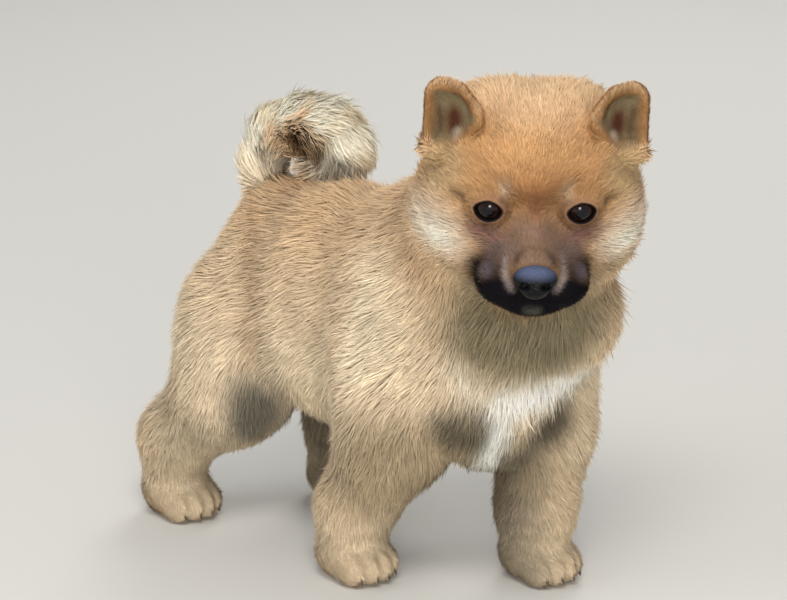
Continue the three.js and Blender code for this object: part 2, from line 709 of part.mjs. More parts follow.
// The line of the mouth and the groove under the nose, sunk into the surface of the muzzle
const MOUTH = { corner: 25, middle: -26.5, dip: 3.2, lift: 6.5, radius: 1.15 };
const NOSE_GROOVE = [-19, -27];
const faceAt = (x, z) => rootOn(coatField, fromHead([x, -20, z]), sub(fromHead([0, -1, 0]), HEAD_CENTRE));
function groove(points) {
  const rings = points.map((p, i) => {
    const axis = unit(sub(points[Math.min(i + 1, points.length - 1)], points[Math.max(i - 1, 0)]));
    const normal = along(gradient(coatField, p), axis);
    const side = cross(axis, normal);
    return [0, 1, 2, 3, 4].map((k) => {
      const turn = (k / 5) * 2 * Math.PI;
      return add(p, mul(add(mul(normal, Math.cos(turn)), mul(side, Math.sin(turn))), MOUTH.radius));
    });
  });
  return strand(rings, points[0], points.at(-1));
}
const mouthPoints = Array.from({ length: 17 }, (_, i) => {
  const t = i / 8 - 1;
  const dip = MOUTH.dip * Math.sin(Math.PI * Math.min(1, Math.abs(t) * 1.4));
  return faceAt(MOUTH.corner * t, MOUTH.middle - dip + MOUTH.lift * t ** 4);
});
const groovePoints = [0, 0.5, 1].map((t) => faceAt(0, NOSE_GROOVE[0] * (1 - t) + NOSE_GROOVE[1] * t));

let head = withLocks(meshOf(bodyField, ...HEAD_BOX, 4.4));
for (const side of [1, -1]) {
  head = head.add(ball(EYE_RADIUS + LID_THICKNESS, side));
  head = head.subtract(ball(EYE_RADIUS + GAP, side)).subtract(opening(side));
}
head = beyond(head, ...HEAD_CUT).subtract(noseRoom);
head = head.subtract(groove(mouthPoints)).subtract(groove(groovePoints));
addNode("head", before(head, ...MUZZLE_CUT), COAT);
addNode("muzzle", beyond(head, ...MUZZLE_CUT), MASK);
addNode("nose", nose, DARK, 0.4);
addNode("eye_left", ball(EYE_RADIUS, 1), DARK, 0.1);
addNode("eye_right", ball(EYE_RADIUS, -1), DARK, 0.1);

// Ears
for (const [name, side] of [["ear_left", 1], ["ear_right", -1]]) {
  const centre = moved([0, 8, 0], earMatrix(side));
  const low = sub(centre, [32, 32, 32]);
  const high = add(centre, [32, 32, 32]);
  const ear = meshOf(earField(side), low, high, 3);
  addNode(name, ear.subtract(meshOf(offset(bodyField, SEAT), low, high, 4)), COAT);
}

// Tail, in three lengths, each with locks round it that lean towards the tip
const TAIL_LOCK = { long: 18, wide: 5.5, thick: 1.5, sink: 4 };
const TAIL_LOCKS_ROUND = 6;
const TAIL_RING_CENTRE = [12, 62, 186];
const wholeTail = tailField(0, TAIL.length - 1);
const tailLocks = [];
for (let i = 1; i < TAIL.length - 1; i++)
  for (let k = 0; k < TAIL_LOCKS_ROUND; k++) {
    const axis = unit(sub(tailPoint(i + 1), tailPoint(i - 1)));
    const turn = ((k + (i % 2) / 2) / TAIL_LOCKS_ROUND) * 2 * Math.PI;
    const side = along([1, 0, 0], axis);
    const outward = add(mul(side, Math.cos(turn)), mul(cross(axis, side), Math.sin(turn)));
    const inward = dot(outward, unit(sub(TAIL_RING_CENTRE, tailPoint(i))));
    if (inward > 0.45) continue;
    const root = rootOn(wholeTail, tailPoint(i), outward);
    const lie = along(axis, gradient(wholeTail, root));
    const rise = TAIL[i][3] - coreRadius(i) + 1.5;
    tailLocks.push(lock(wholeTail, root, lie, { ...TAIL_LOCK, rise, sway: draw(-3, 3) }));
  }
const TAIL_CUTS = [2, 4].map((i) => [tailPoint(i), sub(tailPoint(i + 1), tailPoint(i - 1))]);
const tailMesh = (first, last) => {
  const points = TAIL.slice(first, last + 1);
  const low = [0, 1, 2].map((i) => Math.min(...points.map((p) => p[i])) - 22);
  const high = [0, 1, 2].map((i) => Math.max(...points.map((p) => p[i])) + 22);
  return joined(meshOf(tailField(first, last), low, high, 4), tailLocks);
};
const nearBack = meshOf(offset(coatField, SEAT), [-30, 10, 120], [50, 128, 215], 5);
const tailRoot = before(before(tailMesh(0, 3), ...TAIL_CUTS[0]), ...TAIL_CUTS[1]);
addNode("tail_root", tailRoot.subtract(nearBack), COAT);
addNode("tail_curl", before(beyond(tailMesh(1, 5), ...TAIL_CUTS[0]), ...TAIL_CUTS[1]), COAT);
addNode("tail_tip", beyond(tailMesh(3, 7), ...TAIL_CUTS[1]).subtract(nearBack), COAT);

// The origin goes to the middle of the footprint
const bounds = new THREE.Box3();
for (const { solid } of nodes) {
  const { min, max } = solid.boundingBox();
  bounds.expandByPoint(new THREE.Vector3(...min)).expandByPoint(new THREE.Vector3(...max));
}
const middle = bounds.getCenter(new THREE.Vector3());
const part = new THREE.Group();
for (const node of nodes)
  part.add(meshFor({ ...node, solid: node.solid.translate([-middle.x, -middle.y, -bounds.min.z]) }));

export default part;
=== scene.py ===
"""A standing shiba inu puppy, about seven weeks old, as a life-size model.

Shapes are worked out in the dog's own frame, in millimetres: the dog faces -Y, its left side is +X
and the floor is z = 0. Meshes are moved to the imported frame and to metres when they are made.
"""

import math

import bpy
import numpy as np
from mathutils import Euler, Matrix, Vector


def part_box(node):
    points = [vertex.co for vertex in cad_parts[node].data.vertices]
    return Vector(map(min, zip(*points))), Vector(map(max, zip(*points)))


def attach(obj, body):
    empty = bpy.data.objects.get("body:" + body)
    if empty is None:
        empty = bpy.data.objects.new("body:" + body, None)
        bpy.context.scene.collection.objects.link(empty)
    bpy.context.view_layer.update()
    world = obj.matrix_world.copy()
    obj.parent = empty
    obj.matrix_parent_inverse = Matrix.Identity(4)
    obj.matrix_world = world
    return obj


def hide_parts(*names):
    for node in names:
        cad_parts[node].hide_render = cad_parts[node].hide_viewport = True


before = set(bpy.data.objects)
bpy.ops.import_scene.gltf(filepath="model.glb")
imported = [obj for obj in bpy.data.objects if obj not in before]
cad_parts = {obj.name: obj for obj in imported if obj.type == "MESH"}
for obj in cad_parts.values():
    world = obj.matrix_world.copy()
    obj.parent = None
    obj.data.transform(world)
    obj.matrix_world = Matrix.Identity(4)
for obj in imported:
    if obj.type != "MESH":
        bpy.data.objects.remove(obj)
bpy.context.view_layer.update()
random = np.random.default_rng(11)
MM = 0.001

# Driving sizes, as in the part

HEAD_CENTRE = (-5.1, -113.5, 206)
HEAD_TURN = (14, 1.5, -42)  # pitch, roll and yaw in degrees
EYE_RADIUS = 8.0
EYE_AT = (19.8, -34.5, 8)
EYE_OPENING = (5.9, 4.9)
NOSE_AT = (0, -69, -10.5)
PAWS = {
    "front_right": (-37, -26),
    "front_left": (28, -86),
    "hind_right": (-43, 101),
    "hind_left": (34, 62),
}
SIDES = (1, -1)


# Fields: each takes points as rows x, y, z and gives the distance outside a shape


def ellipsoid(centre, radii):
    cx, cy, cz = centre
    rx, ry, rz = radii

    def field(p):
        x, y, z = (p[0] - cx) / rx, (p[1] - cy) / ry, (p[2] - cz) / rz
        k0 = np.sqrt(x * x + y * y + z * z)
        k1 = np.sqrt((x / rx) ** 2 + (y / ry) ** 2 + (z / rz) ** 2)
        return k0 * (k0 - 1) / np.maximum(k1, 1e-6)

    return field


def limb(start, end, start_radius, end_radius):
    ax, ay, az = start
    bx, by, bz = (e - s for s, e in zip(start, end))
    squared = bx * bx + by * by + bz * bz

    def field(p):
        x, y, z = p[0] - ax, p[1] - ay, p[2] - az
        t = np.clip((x * bx + y * by + z * bz) / squared, 0, 1)
        distance = np.sqrt((x - bx * t) ** 2 + (y - by * t) ** 2 + (z - bz * t) ** 2)
        return distance - (start_radius + (end_radius - start_radius) * t)

    return field


def smooth_min(a, b, radius):
    h = np.maximum(0, radius - np.abs(a - b)) / radius
    return np.minimum(a, b) - h * h * radius / 4


def blended(radius, fields):
    def field(p):
        whole = fields[0](p)
        for other in fields[1:]:
            whole = smooth_min(whole, other(p), radius)
        return whole

    return field


def carved(radius, field, hollow):
    return lambda p: -smooth_min(-field(p), hollow(p), radius)


def smoothstep(low, high, v):
    t = np.clip((v - low) / (high - low), 0, 1)
    return t * t * (3 - 2 * t)


def between(a, b, share):
    """a where the share is 0 and b where it is 1."""
    return a * (1 - share) + b * share


def near(field, centre, reach, far=60.0):
    """The field where it matters: points outside a cube round the centre count as far away."""

    def limited(p):
        value = np.full(p.shape[1], far, p.dtype)
        close = np.ones(p.shape[1], bool)
        for axis in range(3):
            close &= np.abs(p[axis] - centre[axis]) < reach
        if close.any():
            value[close] = field(p[:, close])
        return value

    return limited


def pair(make):
    return [make(side) for side in SIDES]


pitch, roll, yaw = (math.radians(v) for v in HEAD_TURN)
HEAD = (
    Matrix.Translation(HEAD_CENTRE)
    @ Matrix.Rotation(yaw, 4, "Z")
    @ Matrix.Rotation(pitch, 4, "X")
    @ Matrix.Rotation(roll, 4, "Y")
)


def moved(p, matrix):
    m = np.array(matrix)
    return (m[:3, :3] @ p + m[:3, 3:4]).astype(p.dtype)


def turned(v, matrix):
    return (np.array(matrix)[:3, :3] @ v).astype(v.dtype)


def column(*values):
    return np.array(values, float).reshape(3, 1)


def folded(p):
    """Points of both sides laid on the left side."""
    return np.stack([np.abs(p[0]), p[1], p[2]])


def from_head(point):
    return tuple(HEAD @ Vector(point))


def in_frame(matrix, field):
    inverse = matrix.inverted()
    return lambda p: field(moved(p, inverse))


def head_field():
    skull = blended(
        14,
        [
            ellipsoid((0, 4, 4), (46, 48, 42)),
            ellipsoid((0, -13, 10), (34, 29, 32)),
            *pair(lambda s: ellipsoid((19 * s, 9, 13), (26, 29, 34))),
            *pair(lambda s: ellipsoid((27 * s, -2, -16), (27, 31, 29))),
        ],
    )
    muzzle = blended(
        8,
        [
            limb((0, -34, -15), (0, -56, -14), 21, 11.5),
            *pair(lambda s: ellipsoid((12 * s, -48, -22), (14.5, 17.5, 11.5))),
            ellipsoid((0, -47, -30), (15, 15, 9.5)),
        ],
    )
    whole = blended(12, [skull, muzzle])
    for side in SIDES:
        whole = carved(8, whole, ellipsoid((20 * side, -46, 7), (12, 9, 9)))
    return whole


neck_field = blended(
    16,
    [
        limb((0, -44, 150), (-4, -90, 180), 44, 42),
        limb((3, -76, 120), (0, -100, 160), 44, 44),
        ellipsoid((22, -108, 138), (28, 30, 28)),
    ],
)
torso_field = blended(
    20,
    [
        ellipsoid((1, -42, 124), (50, 52, 65)),
        ellipsoid((0, 14, 121), (48, 54, 63)),
        ellipsoid((0, 60, 124), (44, 38, 53)),
        ellipsoid((2, -84, 102), (38, 26, 43)),
        ellipsoid((44, -72, 106), (22, 30, 38)),
        ellipsoid((-30, -46, 104), (24, 30, 42)),
        *pair(lambda s: ellipsoid((28 * s, 70, 94), (24, 39, 42))),
    ],
)

TOES = (-1.5, -0.5, 0.5, 1.5)


def toe_at(paw, n):
    return (paw[0] + 7.2 * n, paw[1] - 15 + 2.2 * abs(n) ** 1.5, 8.5)


def paw_field(paw):
    pad = ellipsoid((*paw, 11), (16, 19, 13))
    return blended(4, [pad, *(ellipsoid(toe_at(paw, n), (5.6, 9.5, 9)) for n in TOES)])


def front_leg_field(side, paw):
    shoulder = (-27, -50, 100) if side < 0 else (42, -74, 100)
    elbow = (-29, -45, 70) if side < 0 else (38, -80, 72)
    wrist = (paw[0] + (4 if side < 0 else 2), paw[1] + 2, 34)
    lengths = [
        limb(shoulder, elbow, 25, 25.5),
        limb(elbow, wrist, 25.5, 19.5),
        limb(wrist, (paw[0], paw[1] + 2, 18), 19.5, 15),
    ]
    return blended(8, [*lengths, paw_field(paw)])


def hind_leg_field(side, paw):
    knee = (32 * side, paw[1] - 30, 70)
    hock = (paw[0], paw[1], 42)
    lengths = [
        limb((28 * side, 68, 108), knee, 30, 28),
        limb(knee, hock, 28, 19.5),
        limb(hock, (paw[0], paw[1] + 3, 18), 19.5, 16),
    ]
    return blended(8, [*lengths, paw_field(paw)])


HEAD_REACH = 100
coat_field = blended(
    16,
    [
        torso_field,
        front_leg_field(-1, PAWS["front_right"]),
        front_leg_field(1, PAWS["front_left"]),
        hind_leg_field(-1, PAWS["hind_right"]),
        hind_leg_field(1, PAWS["hind_left"]),
        neck_field,
        near(in_frame(HEAD, head_field()), HEAD_CENTRE, HEAD_REACH),
    ],
)

# Ears: thick plates with round corners that lean forward, hollowed on their front faces
EAR_ROOT = (38, -14, 33.5)
EAR_UP = (0.06, 0.02, 1)
EAR_FRONT = (0.3, -0.95, 0)
EAR_CORNERS = ((-6, -9), (11.5, 8.5), (4, 16.5), (-4, 17.8))
EAR_OUTLINE = 3.4
EAR_EDGE = 3.0
EAR_HALF = 1.2


def mirrored(point, side):
    return (point[0] * side, point[1], point[2])


def ear_matrix(side):
    up = Vector(mirrored(EAR_UP, side)).normalized()
    front = Vector(mirrored(EAR_FRONT, side))
    across = up.cross(front).normalized() * -side
    front = (across.cross(up) * -side).normalized()
    basis = Matrix((across, up, front)).transposed().to_4x4()
    return HEAD @ Matrix.Translation(mirrored(EAR_ROOT, side)) @ basis


def outline_distance(u, v):
    nearest = np.full_like(u, 1e6)
    inside = np.ones(u.shape, bool)
    for i, a in enumerate(EAR_CORNERS):
        b = EAR_CORNERS[(i + 1) % len(EAR_CORNERS)]
        ex, ey = b[0] - a[0], b[1] - a[1]
        qx, qy = u - a[0], v - a[1]
        t = np.clip((qx * ex + qy * ey) / (ex * ex + ey * ey), 0, 1)
        nearest = np.minimum(nearest, np.hypot(qx - ex * t, qy - ey * t))
        inside &= ex * qy - ey * qx >= 0
    return np.where(inside, -nearest, nearest)


def ear_plate(p):
    u, v, w = p
    q0 = outline_distance(u, v) - EAR_OUTLINE
    q1 = np.abs(w - 0.016 * u * u) - EAR_HALF
    outside = np.hypot(np.maximum(q0, 0), np.maximum(q1, 0))
    return outside + np.minimum(np.maximum(q0, q1), 0) - EAR_EDGE


EAR_CUP = blended(
    4, [ellipsoid((1, 9.5, 7), (10.5, 12.5, 8)), ellipsoid((-1, -1, 6), (7, 9, 7.5))]
)
EAR_REACH = 34
EAR_THINNER = 0.3  # the ear's skin lies this far under its coat


def ear_field(side):
    shell = carved(2.5, lambda p: ear_plate(p) + EAR_THINNER, EAR_CUP)
    return in_frame(ear_matrix(side), shell)


# Tail: x, y, z and the radius out to the hair's tips, from the root round over the back
TAIL = np.array(
    [
        (2, 76, 156, 15),
        (3, 85, 176, 13.5),
        (6, 81, 195, 13),
        (12, 64, 203.5, 13),
        (16, 47, 202.5, 13),
        (19, 39, 193, 13),
        (18, 42, 184, 12),
        (14, 49, 180, 9),
    ],
    float,
)
TAIL_CORE = 0.5
TAIL_MIDDLE = (12, 62, 186)
TAIL_REACH = 60
TAIL_ROOT = 0.8


def tail_field(share):
    radii = TAIL[:, 3] * share
    radii[0] = TAIL[0, 3] * TAIL_ROOT
    lengths = [
        limb(TAIL[i, :3], TAIL[i + 1, :3], radii[i], radii[i + 1]) for i in range(len(TAIL) - 1)
    ]
    return blended(6, lengths)


def ear_share(p, side):
    local = moved(p, ear_matrix(side).inverted())
    plate = near(ear_plate, (0, 6, 0), 40)(local)
    return smoothstep(2.0, -0.5, plate) * smoothstep(-9, -3, local[1])


def tail_share(p):
    reach = near(tail_field(1.15), TAIL_MIDDLE, TAIL_REACH)(p)
    return smoothstep(3, -2, reach) * smoothstep(163, 172, p[2])


def curl_radius(p):
    """How far points are from the middle of the tail's curl, seen from the side."""
    return np.hypot(p[1] - TAIL_MIDDLE[1], p[2] - TAIL_MIDDLE[2])


# The skin lies under the coat's tips by the coat's depth

HEAD_WHOLE = blended(
    10, [ellipsoid((0, -8, 2), (60, 60, 50)), ellipsoid((0, -52, -16), (42, 42, 34))]
)


def head_share(p):
    """1 in the head, 0 in the body."""
    return smoothstep(-4, 10, -HEAD_WHOLE(moved(p, HEAD.inverted())))


def coat_depth(p):
    leg = np.interp(p[2], (6, 24, 50, 80, 110), (1.0, 2.0, 3.4, 5.5, 7.0))
    q = moved(p, HEAD.inverted())
    back = smoothstep(-28, 22, q[1])
    face = 1.3 + 0.9 * smoothstep(-58, -36, q[1]) + 3.6 * back
    return between(leg, face, head_share(p))


def skin_base(p):
    return coat_field(p) + coat_depth(p).astype(p.dtype)


# Lids: a ball round each eye, opened by an almond
LID = 1.5


def eye_matrix(side):
    return HEAD @ Matrix.Translation(mirrored(EYE_AT, side))


def opening_matrix(side):
    """Z points out of the eye, x across it and y up."""
    turn = Euler((math.pi / 2 + 0.06, side * 0.14, side * 0.08), "ZYX").to_matrix().to_4x4()
    return eye_matrix(side) @ turn


def almond(side):
    """How far a point is outside the opening's outline, in the plane across it."""
    wide, high = EYE_OPENING
    inverse = opening_matrix(side).inverted()

    def field(p):
        x, y, z = moved(p, inverse)
        flat = np.hypot(x / wide, y / high)
        bent = flat + 0.10 * np.abs(y / high) * np.abs(x / wide)
        distance = (bent - 1) * high * 1.1
        return np.where(z > 0, distance, 30.0).astype(p.dtype)

    return field


def lid_gap(side, reach, far=60.0):
    """The distance outside an eye's opening, worked out only within the reach of the eye."""
    return near(almond(side), from_head(mirrored(EYE_AT, side)), reach, far)


def with_lids(field):
    for side in SIDES:
        ball = in_frame(eye_matrix(side), ellipsoid((0, 0, 0), (EYE_RADIUS + LID,) * 3))
        centre = from_head(mirrored(EYE_AT, side))
        field = blended(3.5, [field, near(ball, centre, 22)])
        field = carved(0.9, field, lid_gap(side, 24))
        hole = in_frame(eye_matrix(side), ellipsoid((0, 0, 0), (EYE_RADIUS - 0.6,) * 3))
        field = carved(0.4, field, near(hole, centre, 22))
    return field


# The line of the mouth and the groove under the nose
MOUTH = {"corner": 25, "middle": -26.5, "dip": 3.2, "lift": 6.5, "radius": 1.3}
NOSE_GROOVE = (-19, -27)


def face_at(x, z):
    """Where the skin is met from inside the muzzle, going forward, at head x and z."""
    low, high = 0.0, 80.0
    for _ in range(24):
        middle = (low + high) / 2
        if skin_base(column(*from_head((x, -20 - middle, z))))[0] < 0:
            low = middle
        else:
            high = middle
    return from_head((x, -20 - low, z))


def mouth_points():
    points = []
    for i in range(21):
        t = i / 10 - 1
        z = MOUTH["middle"] - MOUTH["dip"] * math.sin(math.pi * min(1, abs(t) * 1.4))
        points.append(face_at(MOUTH["corner"] * t, z + MOUTH["lift"] * t**4))
    return points


def line_field(points, radius):
    return blended(0.5, [limb(a, b, radius, radius) for a, b in zip(points, points[1:])])


mouth_line = mouth_points()
nose_line = [face_at(0, z) for z in np.linspace(*NOSE_GROOVE, 4)]
groove_field = blended(
    0.8, [line_field(mouth_line, MOUTH["radius"]), line_field(nose_line, 1.0)]
)
MUZZLE_MIDDLE = from_head((0, -52, -24))


def nose_field(p):
    leather = blended(
        3,
        [
            ellipsoid(NOSE_AT, (9.8, 6, 5.6)),
            ellipsoid((NOSE_AT[0], NOSE_AT[1] - 0.5, NOSE_AT[2] - 4.5), (6.5, 5.5, 5)),
        ],
    )
    for side in SIDES:
        nostril = blended(
            1,
            [
                ellipsoid((4.6 * side, NOSE_AT[1] - 6, NOSE_AT[2] - 1.6), (2.3, 4.2, 1.9)),
                ellipsoid((7.2 * side, NOSE_AT[1] - 4.2, NOSE_AT[2] - 3), (2.6, 3.4, 1.1)),
            ],
        )
        leather = carved(0.8, leather, nostril)
    return leather(p)


FLOOR_GAP = 0.3  # the soles' skin is this far above the floor


def skin_field():
    ears = pair(lambda s: near(ear_field(s), ear_matrix(s).to_translation(), EAR_REACH))
    whole = blended(5, [skin_base, *ears])
    whole = blended(6, [whole, near(tail_field(TAIL_CORE), TAIL_MIDDLE, TAIL_REACH)])
    whole = with_lids(whole)
    whole = carved(1.4, whole, near(groove_field, MUZZLE_MIDDLE, 40))
    return lambda p: np.maximum(whole(p), FLOOR_GAP - p[2])


# Meshes from fields

BLOCK = 400_000  # grid points worked out at once
SLOPE_STEP = 0.25
ROUNDS = 3
COLOURS = "coat_colour"


def surface_nets(field, lines):
    """A mesh of quads over the zero surface, on a grid whose lines need not be evenly spaced."""
    xs, ys, zs = (np.array(v, np.float32) for v in lines)
    shape = (len(xs), len(ys), len(zs))
    grid = np.stack(np.meshgrid(xs, ys, zs, indexing="ij")).reshape(3, -1)
    values = np.empty(grid.shape[1], np.float32)
    for start in range(0, len(values), BLOCK):
        values[start : start + BLOCK] = field(grid[:, start : start + BLOCK])
    values = values.reshape(shape)
    inside = values < 0
    cell_shape = tuple(n - 1 for n in shape)
    corners = [(i, j, k) for i in (0, 1) for j in (0, 1) for k in (0, 1)]
    count = sum(
        inside[i : i + cell_shape[0], j : j + cell_shape[1], k : k + cell_shape[2]].astype(np.int8)
        for i, j, k in corners
    )
    cells = np.argwhere((count > 0) & (count < 8))
    index = np.full(cell_shape, -1, np.int64)
    index[tuple(cells.T)] = np.arange(len(cells))

    spacing = [xs, ys, zs]
    total = np.zeros((len(cells), 3))
    hits = np.zeros(len(cells))
    for a in corners:
        for axis in range(3):
            if a[axis]:
                continue
            b = tuple(v + (i == axis) for i, v in enumerate(a))
            ca, cb = cells + a, cells + b
            va, vb = values[tuple(ca.T)], values[tuple(cb.T)]
            crossing = (va < 0) != (vb < 0)
            t = np.where(crossing, va / np.where(crossing, va - vb, 1), 0)
            pa = np.stack([spacing[i][ca[:, i]] for i in range(3)], 1)
            pb = np.stack([spacing[i][cb[:, i]] for i in range(3)], 1)
            total += np.where(crossing[:, None], pa + (pb - pa) * t[:, None], 0)
            hits += crossing
    points = total / hits[:, None]

    quads = []
    for axis in range(3):
        u, w = (axis + 1) % 3, (axis + 2) % 3
        first = [slice(None)] * 3
        second = [slice(None)] * 3
        first[axis], second[axis] = slice(0, -1), slice(1, None)
        a, b = inside[tuple(first)], inside[tuple(second)]
        edges = np.argwhere(a != b)
        edges = edges[(edges[:, u] > 0) & (edges[:, w] > 0)]
        edges = edges[(edges[:, u] < cell_shape[u]) & (edges[:, w] < cell_shape[w])]
        ring = []
        for du, dw in ((-1, -1), (0, -1), (0, 0), (-1, 0)):
            c = edges.copy()
            c[:, u] += du
            c[:, w] += dw
            ring.append(index[tuple(c.T)])
        ring = np.stack(ring, 1)
        outward = a[tuple(edges.T)]
        quads.append(np.where(outward[:, None], ring, ring[:, ::-1]))
    return points, np.concatenate(quads)


def gradient(field, p):
    slopes = []
    for axis in range(3):
        shift = np.zeros((3, 1))
        shift[axis] = SLOPE_STEP
        slopes.append(field(p + shift) - field(p - shift))
    return np.stack(slopes) / (2 * SLOPE_STEP)


def unit(v):
    return v / np.maximum(np.sqrt((v * v).sum(0)), 1e-9)


def settled(field, points, limit):
    """Points moved onto the zero surface, by no more than the limit in a round."""
    p = points.T.copy()
    for _ in range(ROUNDS):
        g = gradient(field, p)
        size = np.maximum((g * g).sum(0), 0.15)
        step = np.clip(field(p) / np.sqrt(size), -limit, limit)
        p -= unit(g) * step
    return p.T


def refined(points, faces, centres, reach):
    """Triangles near the given places cut in four, and their neighbours to match."""
    middle = points[faces].mean(1)
    close = np.any([np.linalg.norm(middle - c, axis=1) < reach for c in centres], axis=0)
    ends = np.sort(np.stack([faces, np.roll(faces, -1, 1)], 2), 2)
    key = ends[..., 0] * len(points) + ends[..., 1]
    cut = np.unique(key[close])
    place = np.minimum(np.searchsorted(cut, key), len(cut) - 1)
    halved = cut[place] == key
    middles = place + len(points)
    count = halved.sum(1)
    points = np.concatenate([points, (points[cut // len(points)] + points[cut % len(points)]) / 2])

    def turned_rows(rows, first):
        order = (first[:, None] + np.arange(3)) % 3
        return (np.take_along_axis(a[rows], order, 1).T for a in (faces, middles))

    new = [faces[count == 0]]
    one = np.flatnonzero(count == 1)
    (a, b, c), (ab, _, _) = turned_rows(one, halved[one].argmax(1))
    new += [np.stack(t, 1) for t in ((a, ab, c), (ab, b, c))]
    two = np.flatnonzero(count == 2)
    (a, b, c), (ab, bc, _) = turned_rows(two, (~halved[two]).argmax(1) + 1)
    new += [np.stack(t, 1) for t in ((ab, b, bc), (a, ab, bc), (a, bc, c))]
    all_three = count == 3
    (a, b, c), (ab, bc, ca) = faces[all_three].T, middles[all_three].T
    new += [np.stack(t, 1) for t in ((a, ab, ca), (b, bc, ab), (c, ca, bc), (ab, bc, ca))]
    return points, np.concatenate(new)


def piece_from(name, points, faces, material, slot):
    """A mesh object from points in the dog's frame and millimetres."""
    mesh = bpy.data.meshes.new(name)
    placed = (np.asarray(points) + SHIFT) * MM
    mesh.vertices.add(len(placed))
    mesh.vertices.foreach_set("co", placed.astype(np.float32).ravel())
    count, sides = faces.shape
    mesh.loops.add(count * sides)
    mesh.loops.foreach_set("vertex_index", faces.astype(np.int32).ravel())
    mesh.polygons.add(count)
    mesh.polygons.foreach_set("loop_start", np.arange(0, count * sides, sides, dtype=np.int32))
    mesh.polygons.foreach_set("use_smooth", np.full(count, True))
    mesh.update(calc_edges=True)
    piece = bpy.data.objects.new(name, mesh)
    bpy.context.collection.objects.link(piece)
    mesh.materials.append(material)
    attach(piece, "root")
    return piece


def paint(piece, colours):
    """Linear colours, one for each vertex."""
    layer = piece.data.color_attributes.new(COLOURS, "FLOAT_COLOR", "POINT")
    rgba = np.concatenate([colours, np.ones((len(colours), 1))], 1)
    layer.data.foreach_set("color", rgba.astype(np.float32).ravel())


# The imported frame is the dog's frame moved by this much
eye_low, eye_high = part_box("eye_left")
eye_centre = [(a + b) / 2 / MM for a, b in zip(eye_low, eye_high)]
SHIFT = np.array(eye_centre) - np.array(from_head(EYE_AT))
SHIFT[2] = 0.0

# Camera, floor and lights

AZIMUTH = math.radians(-42.0)
ELEVATION = math.radians(16.0)
DISTANCE = 1.6
LENS = 150
LOOK_AT = (11.952, -1.615, 123.707)

target = Vector((np.array(LOOK_AT) + SHIFT) * MM)
level = math.cos(ELEVATION)
outward = Vector((math.sin(AZIMUTH) * level, -math.cos(AZIMUTH) * level, math.sin(ELEVATION)))
camera_data = bpy.data.cameras.new("camera")
camera_data.lens = LENS
camera_data.sensor_width = 36
camera_data.clip_end = 50
camera = bpy.data.objects.new("camera", camera_data)
camera.location = target + outward * DISTANCE
camera.rotation_euler = (-outward).to_track_quat("-Z", "Y").to_euler()
bpy.context.collection.objects.link(camera)
bpy.context.scene.camera = camera


def srgb(*value):
    """Linear light from the 0 to 255 values of a colour picker."""
    v = np.array(value, float) / 255
    return np.where(v <= 0.04045, v / 12.92, ((v + 0.055) / 1.055) ** 2.4)


FLOOR_CORNERS = ((-8, -8, 0), (8, -8, 0), (8, 8, 0), (-8, 8, 0))
FLOOR_TONES = (srgb(212, 210, 204), srgb(222, 220, 215))
SKY = (0.97, 0.98, 1.0, 1)
SKY_STRENGTH = 0.5
LIT = Vector((0, 0, 0.12))
# Each lamp's place and width in metres, power in watts, and colour
LIGHTS = {
    "key": ((-0.9, -0.9, 1.7), 0.8, 18, (1.0, 0.97, 0.92)),
    "fill": ((-1.5, 0.7, 0.9), 1.2, 6, (0.95, 0.97, 1.0)),
    "rim": ((1.2, 0.9, 1.4), 0.9, 10, (1.0, 0.98, 0.95)),
    "front": ((-0.67, -0.85, 0.17), 0.34, 6, (1.0, 0.98, 0.95)),
}


def new_material(name):
    material = bpy.data.materials.new(name)
    material.use_nodes = True
    nodes, links = material.node_tree.nodes, material.node_tree.links
    return material, nodes, links, nodes["Principled BSDF"]


def add_node(nodes, kind, **values):
    node = nodes.new("ShaderNode" + kind)
    for name, value in values.items():
        node.inputs[name].default_value = value
    return node


def floor_and_lights():
    mesh = bpy.data.meshes.new("floor")
    mesh.from_pydata(FLOOR_CORNERS, [], [(0, 1, 2, 3)])
    floor = bpy.data.objects.new("floor", mesh)
    bpy.context.collection.objects.link(floor)
    material, nodes, links, shader = new_material("floor_paper")
    noise = add_node(nodes, "TexNoise", Scale=3)
    ramp = add_node(nodes, "ValToRGB")
    for element, tone in zip(ramp.color_ramp.elements, FLOOR_TONES):
        element.color = (*tone, 1)
    links.new(noise.outputs["Fac"], ramp.inputs["Fac"])
    links.new(ramp.outputs["Color"], shader.inputs["Base Color"])
    shader.inputs["Roughness"].default_value = 0.9
    mesh.materials.append(material)

    world = bpy.data.worlds.new("world")
    world.use_nodes = True
    background = world.node_tree.nodes["Background"]
    background.inputs["Color"].default_value = SKY
    background.inputs["Strength"].default_value = SKY_STRENGTH
    bpy.context.scene.world = world
    bpy.context.scene.view_settings.view_transform = "Standard"

    for name, (place, width, power, colour) in LIGHTS.items():
        data = bpy.data.lights.new(name, "AREA")
        data.shape = "DISK"
        data.size = width
        data.energy = power
        data.color = colour
        light = bpy.data.objects.new(name, data)
        light.location = place
        light.rotation_euler = (LIT - light.location).to_track_quat("-Z", "Y").to_euler()
        bpy.context.collection.objects.link(light)


floor_and_lights()

# Markings, the same for skin and coat


def spot(p, centre, radii, edge):
    """1 inside an ellipsoid, falling to 0 over a soft edge."""
    return smoothstep(edge, -edge, ellipsoid(centre, radii)(p))


def streak(p, points, radius, edge):
    """1 along a line of points, falling to 0 over a soft edge."""
    stretches = [limb(a, b, radius, radius) for a, b in zip(points, points[1:])]
    return smoothstep(edge, -edge, blended(1, stretches)(p))


def mixed(colour, other, share):
    return between(colour, np.asarray(other), share[:, None])


def marked(colour, p, marks):
    """Colours with marks mixed in, in their order, at points laid on the left side."""
    for shape, other, share, *sizes in marks.values():
        colour = mixed(colour, other, shape(p, *sizes) * share)
    return colour


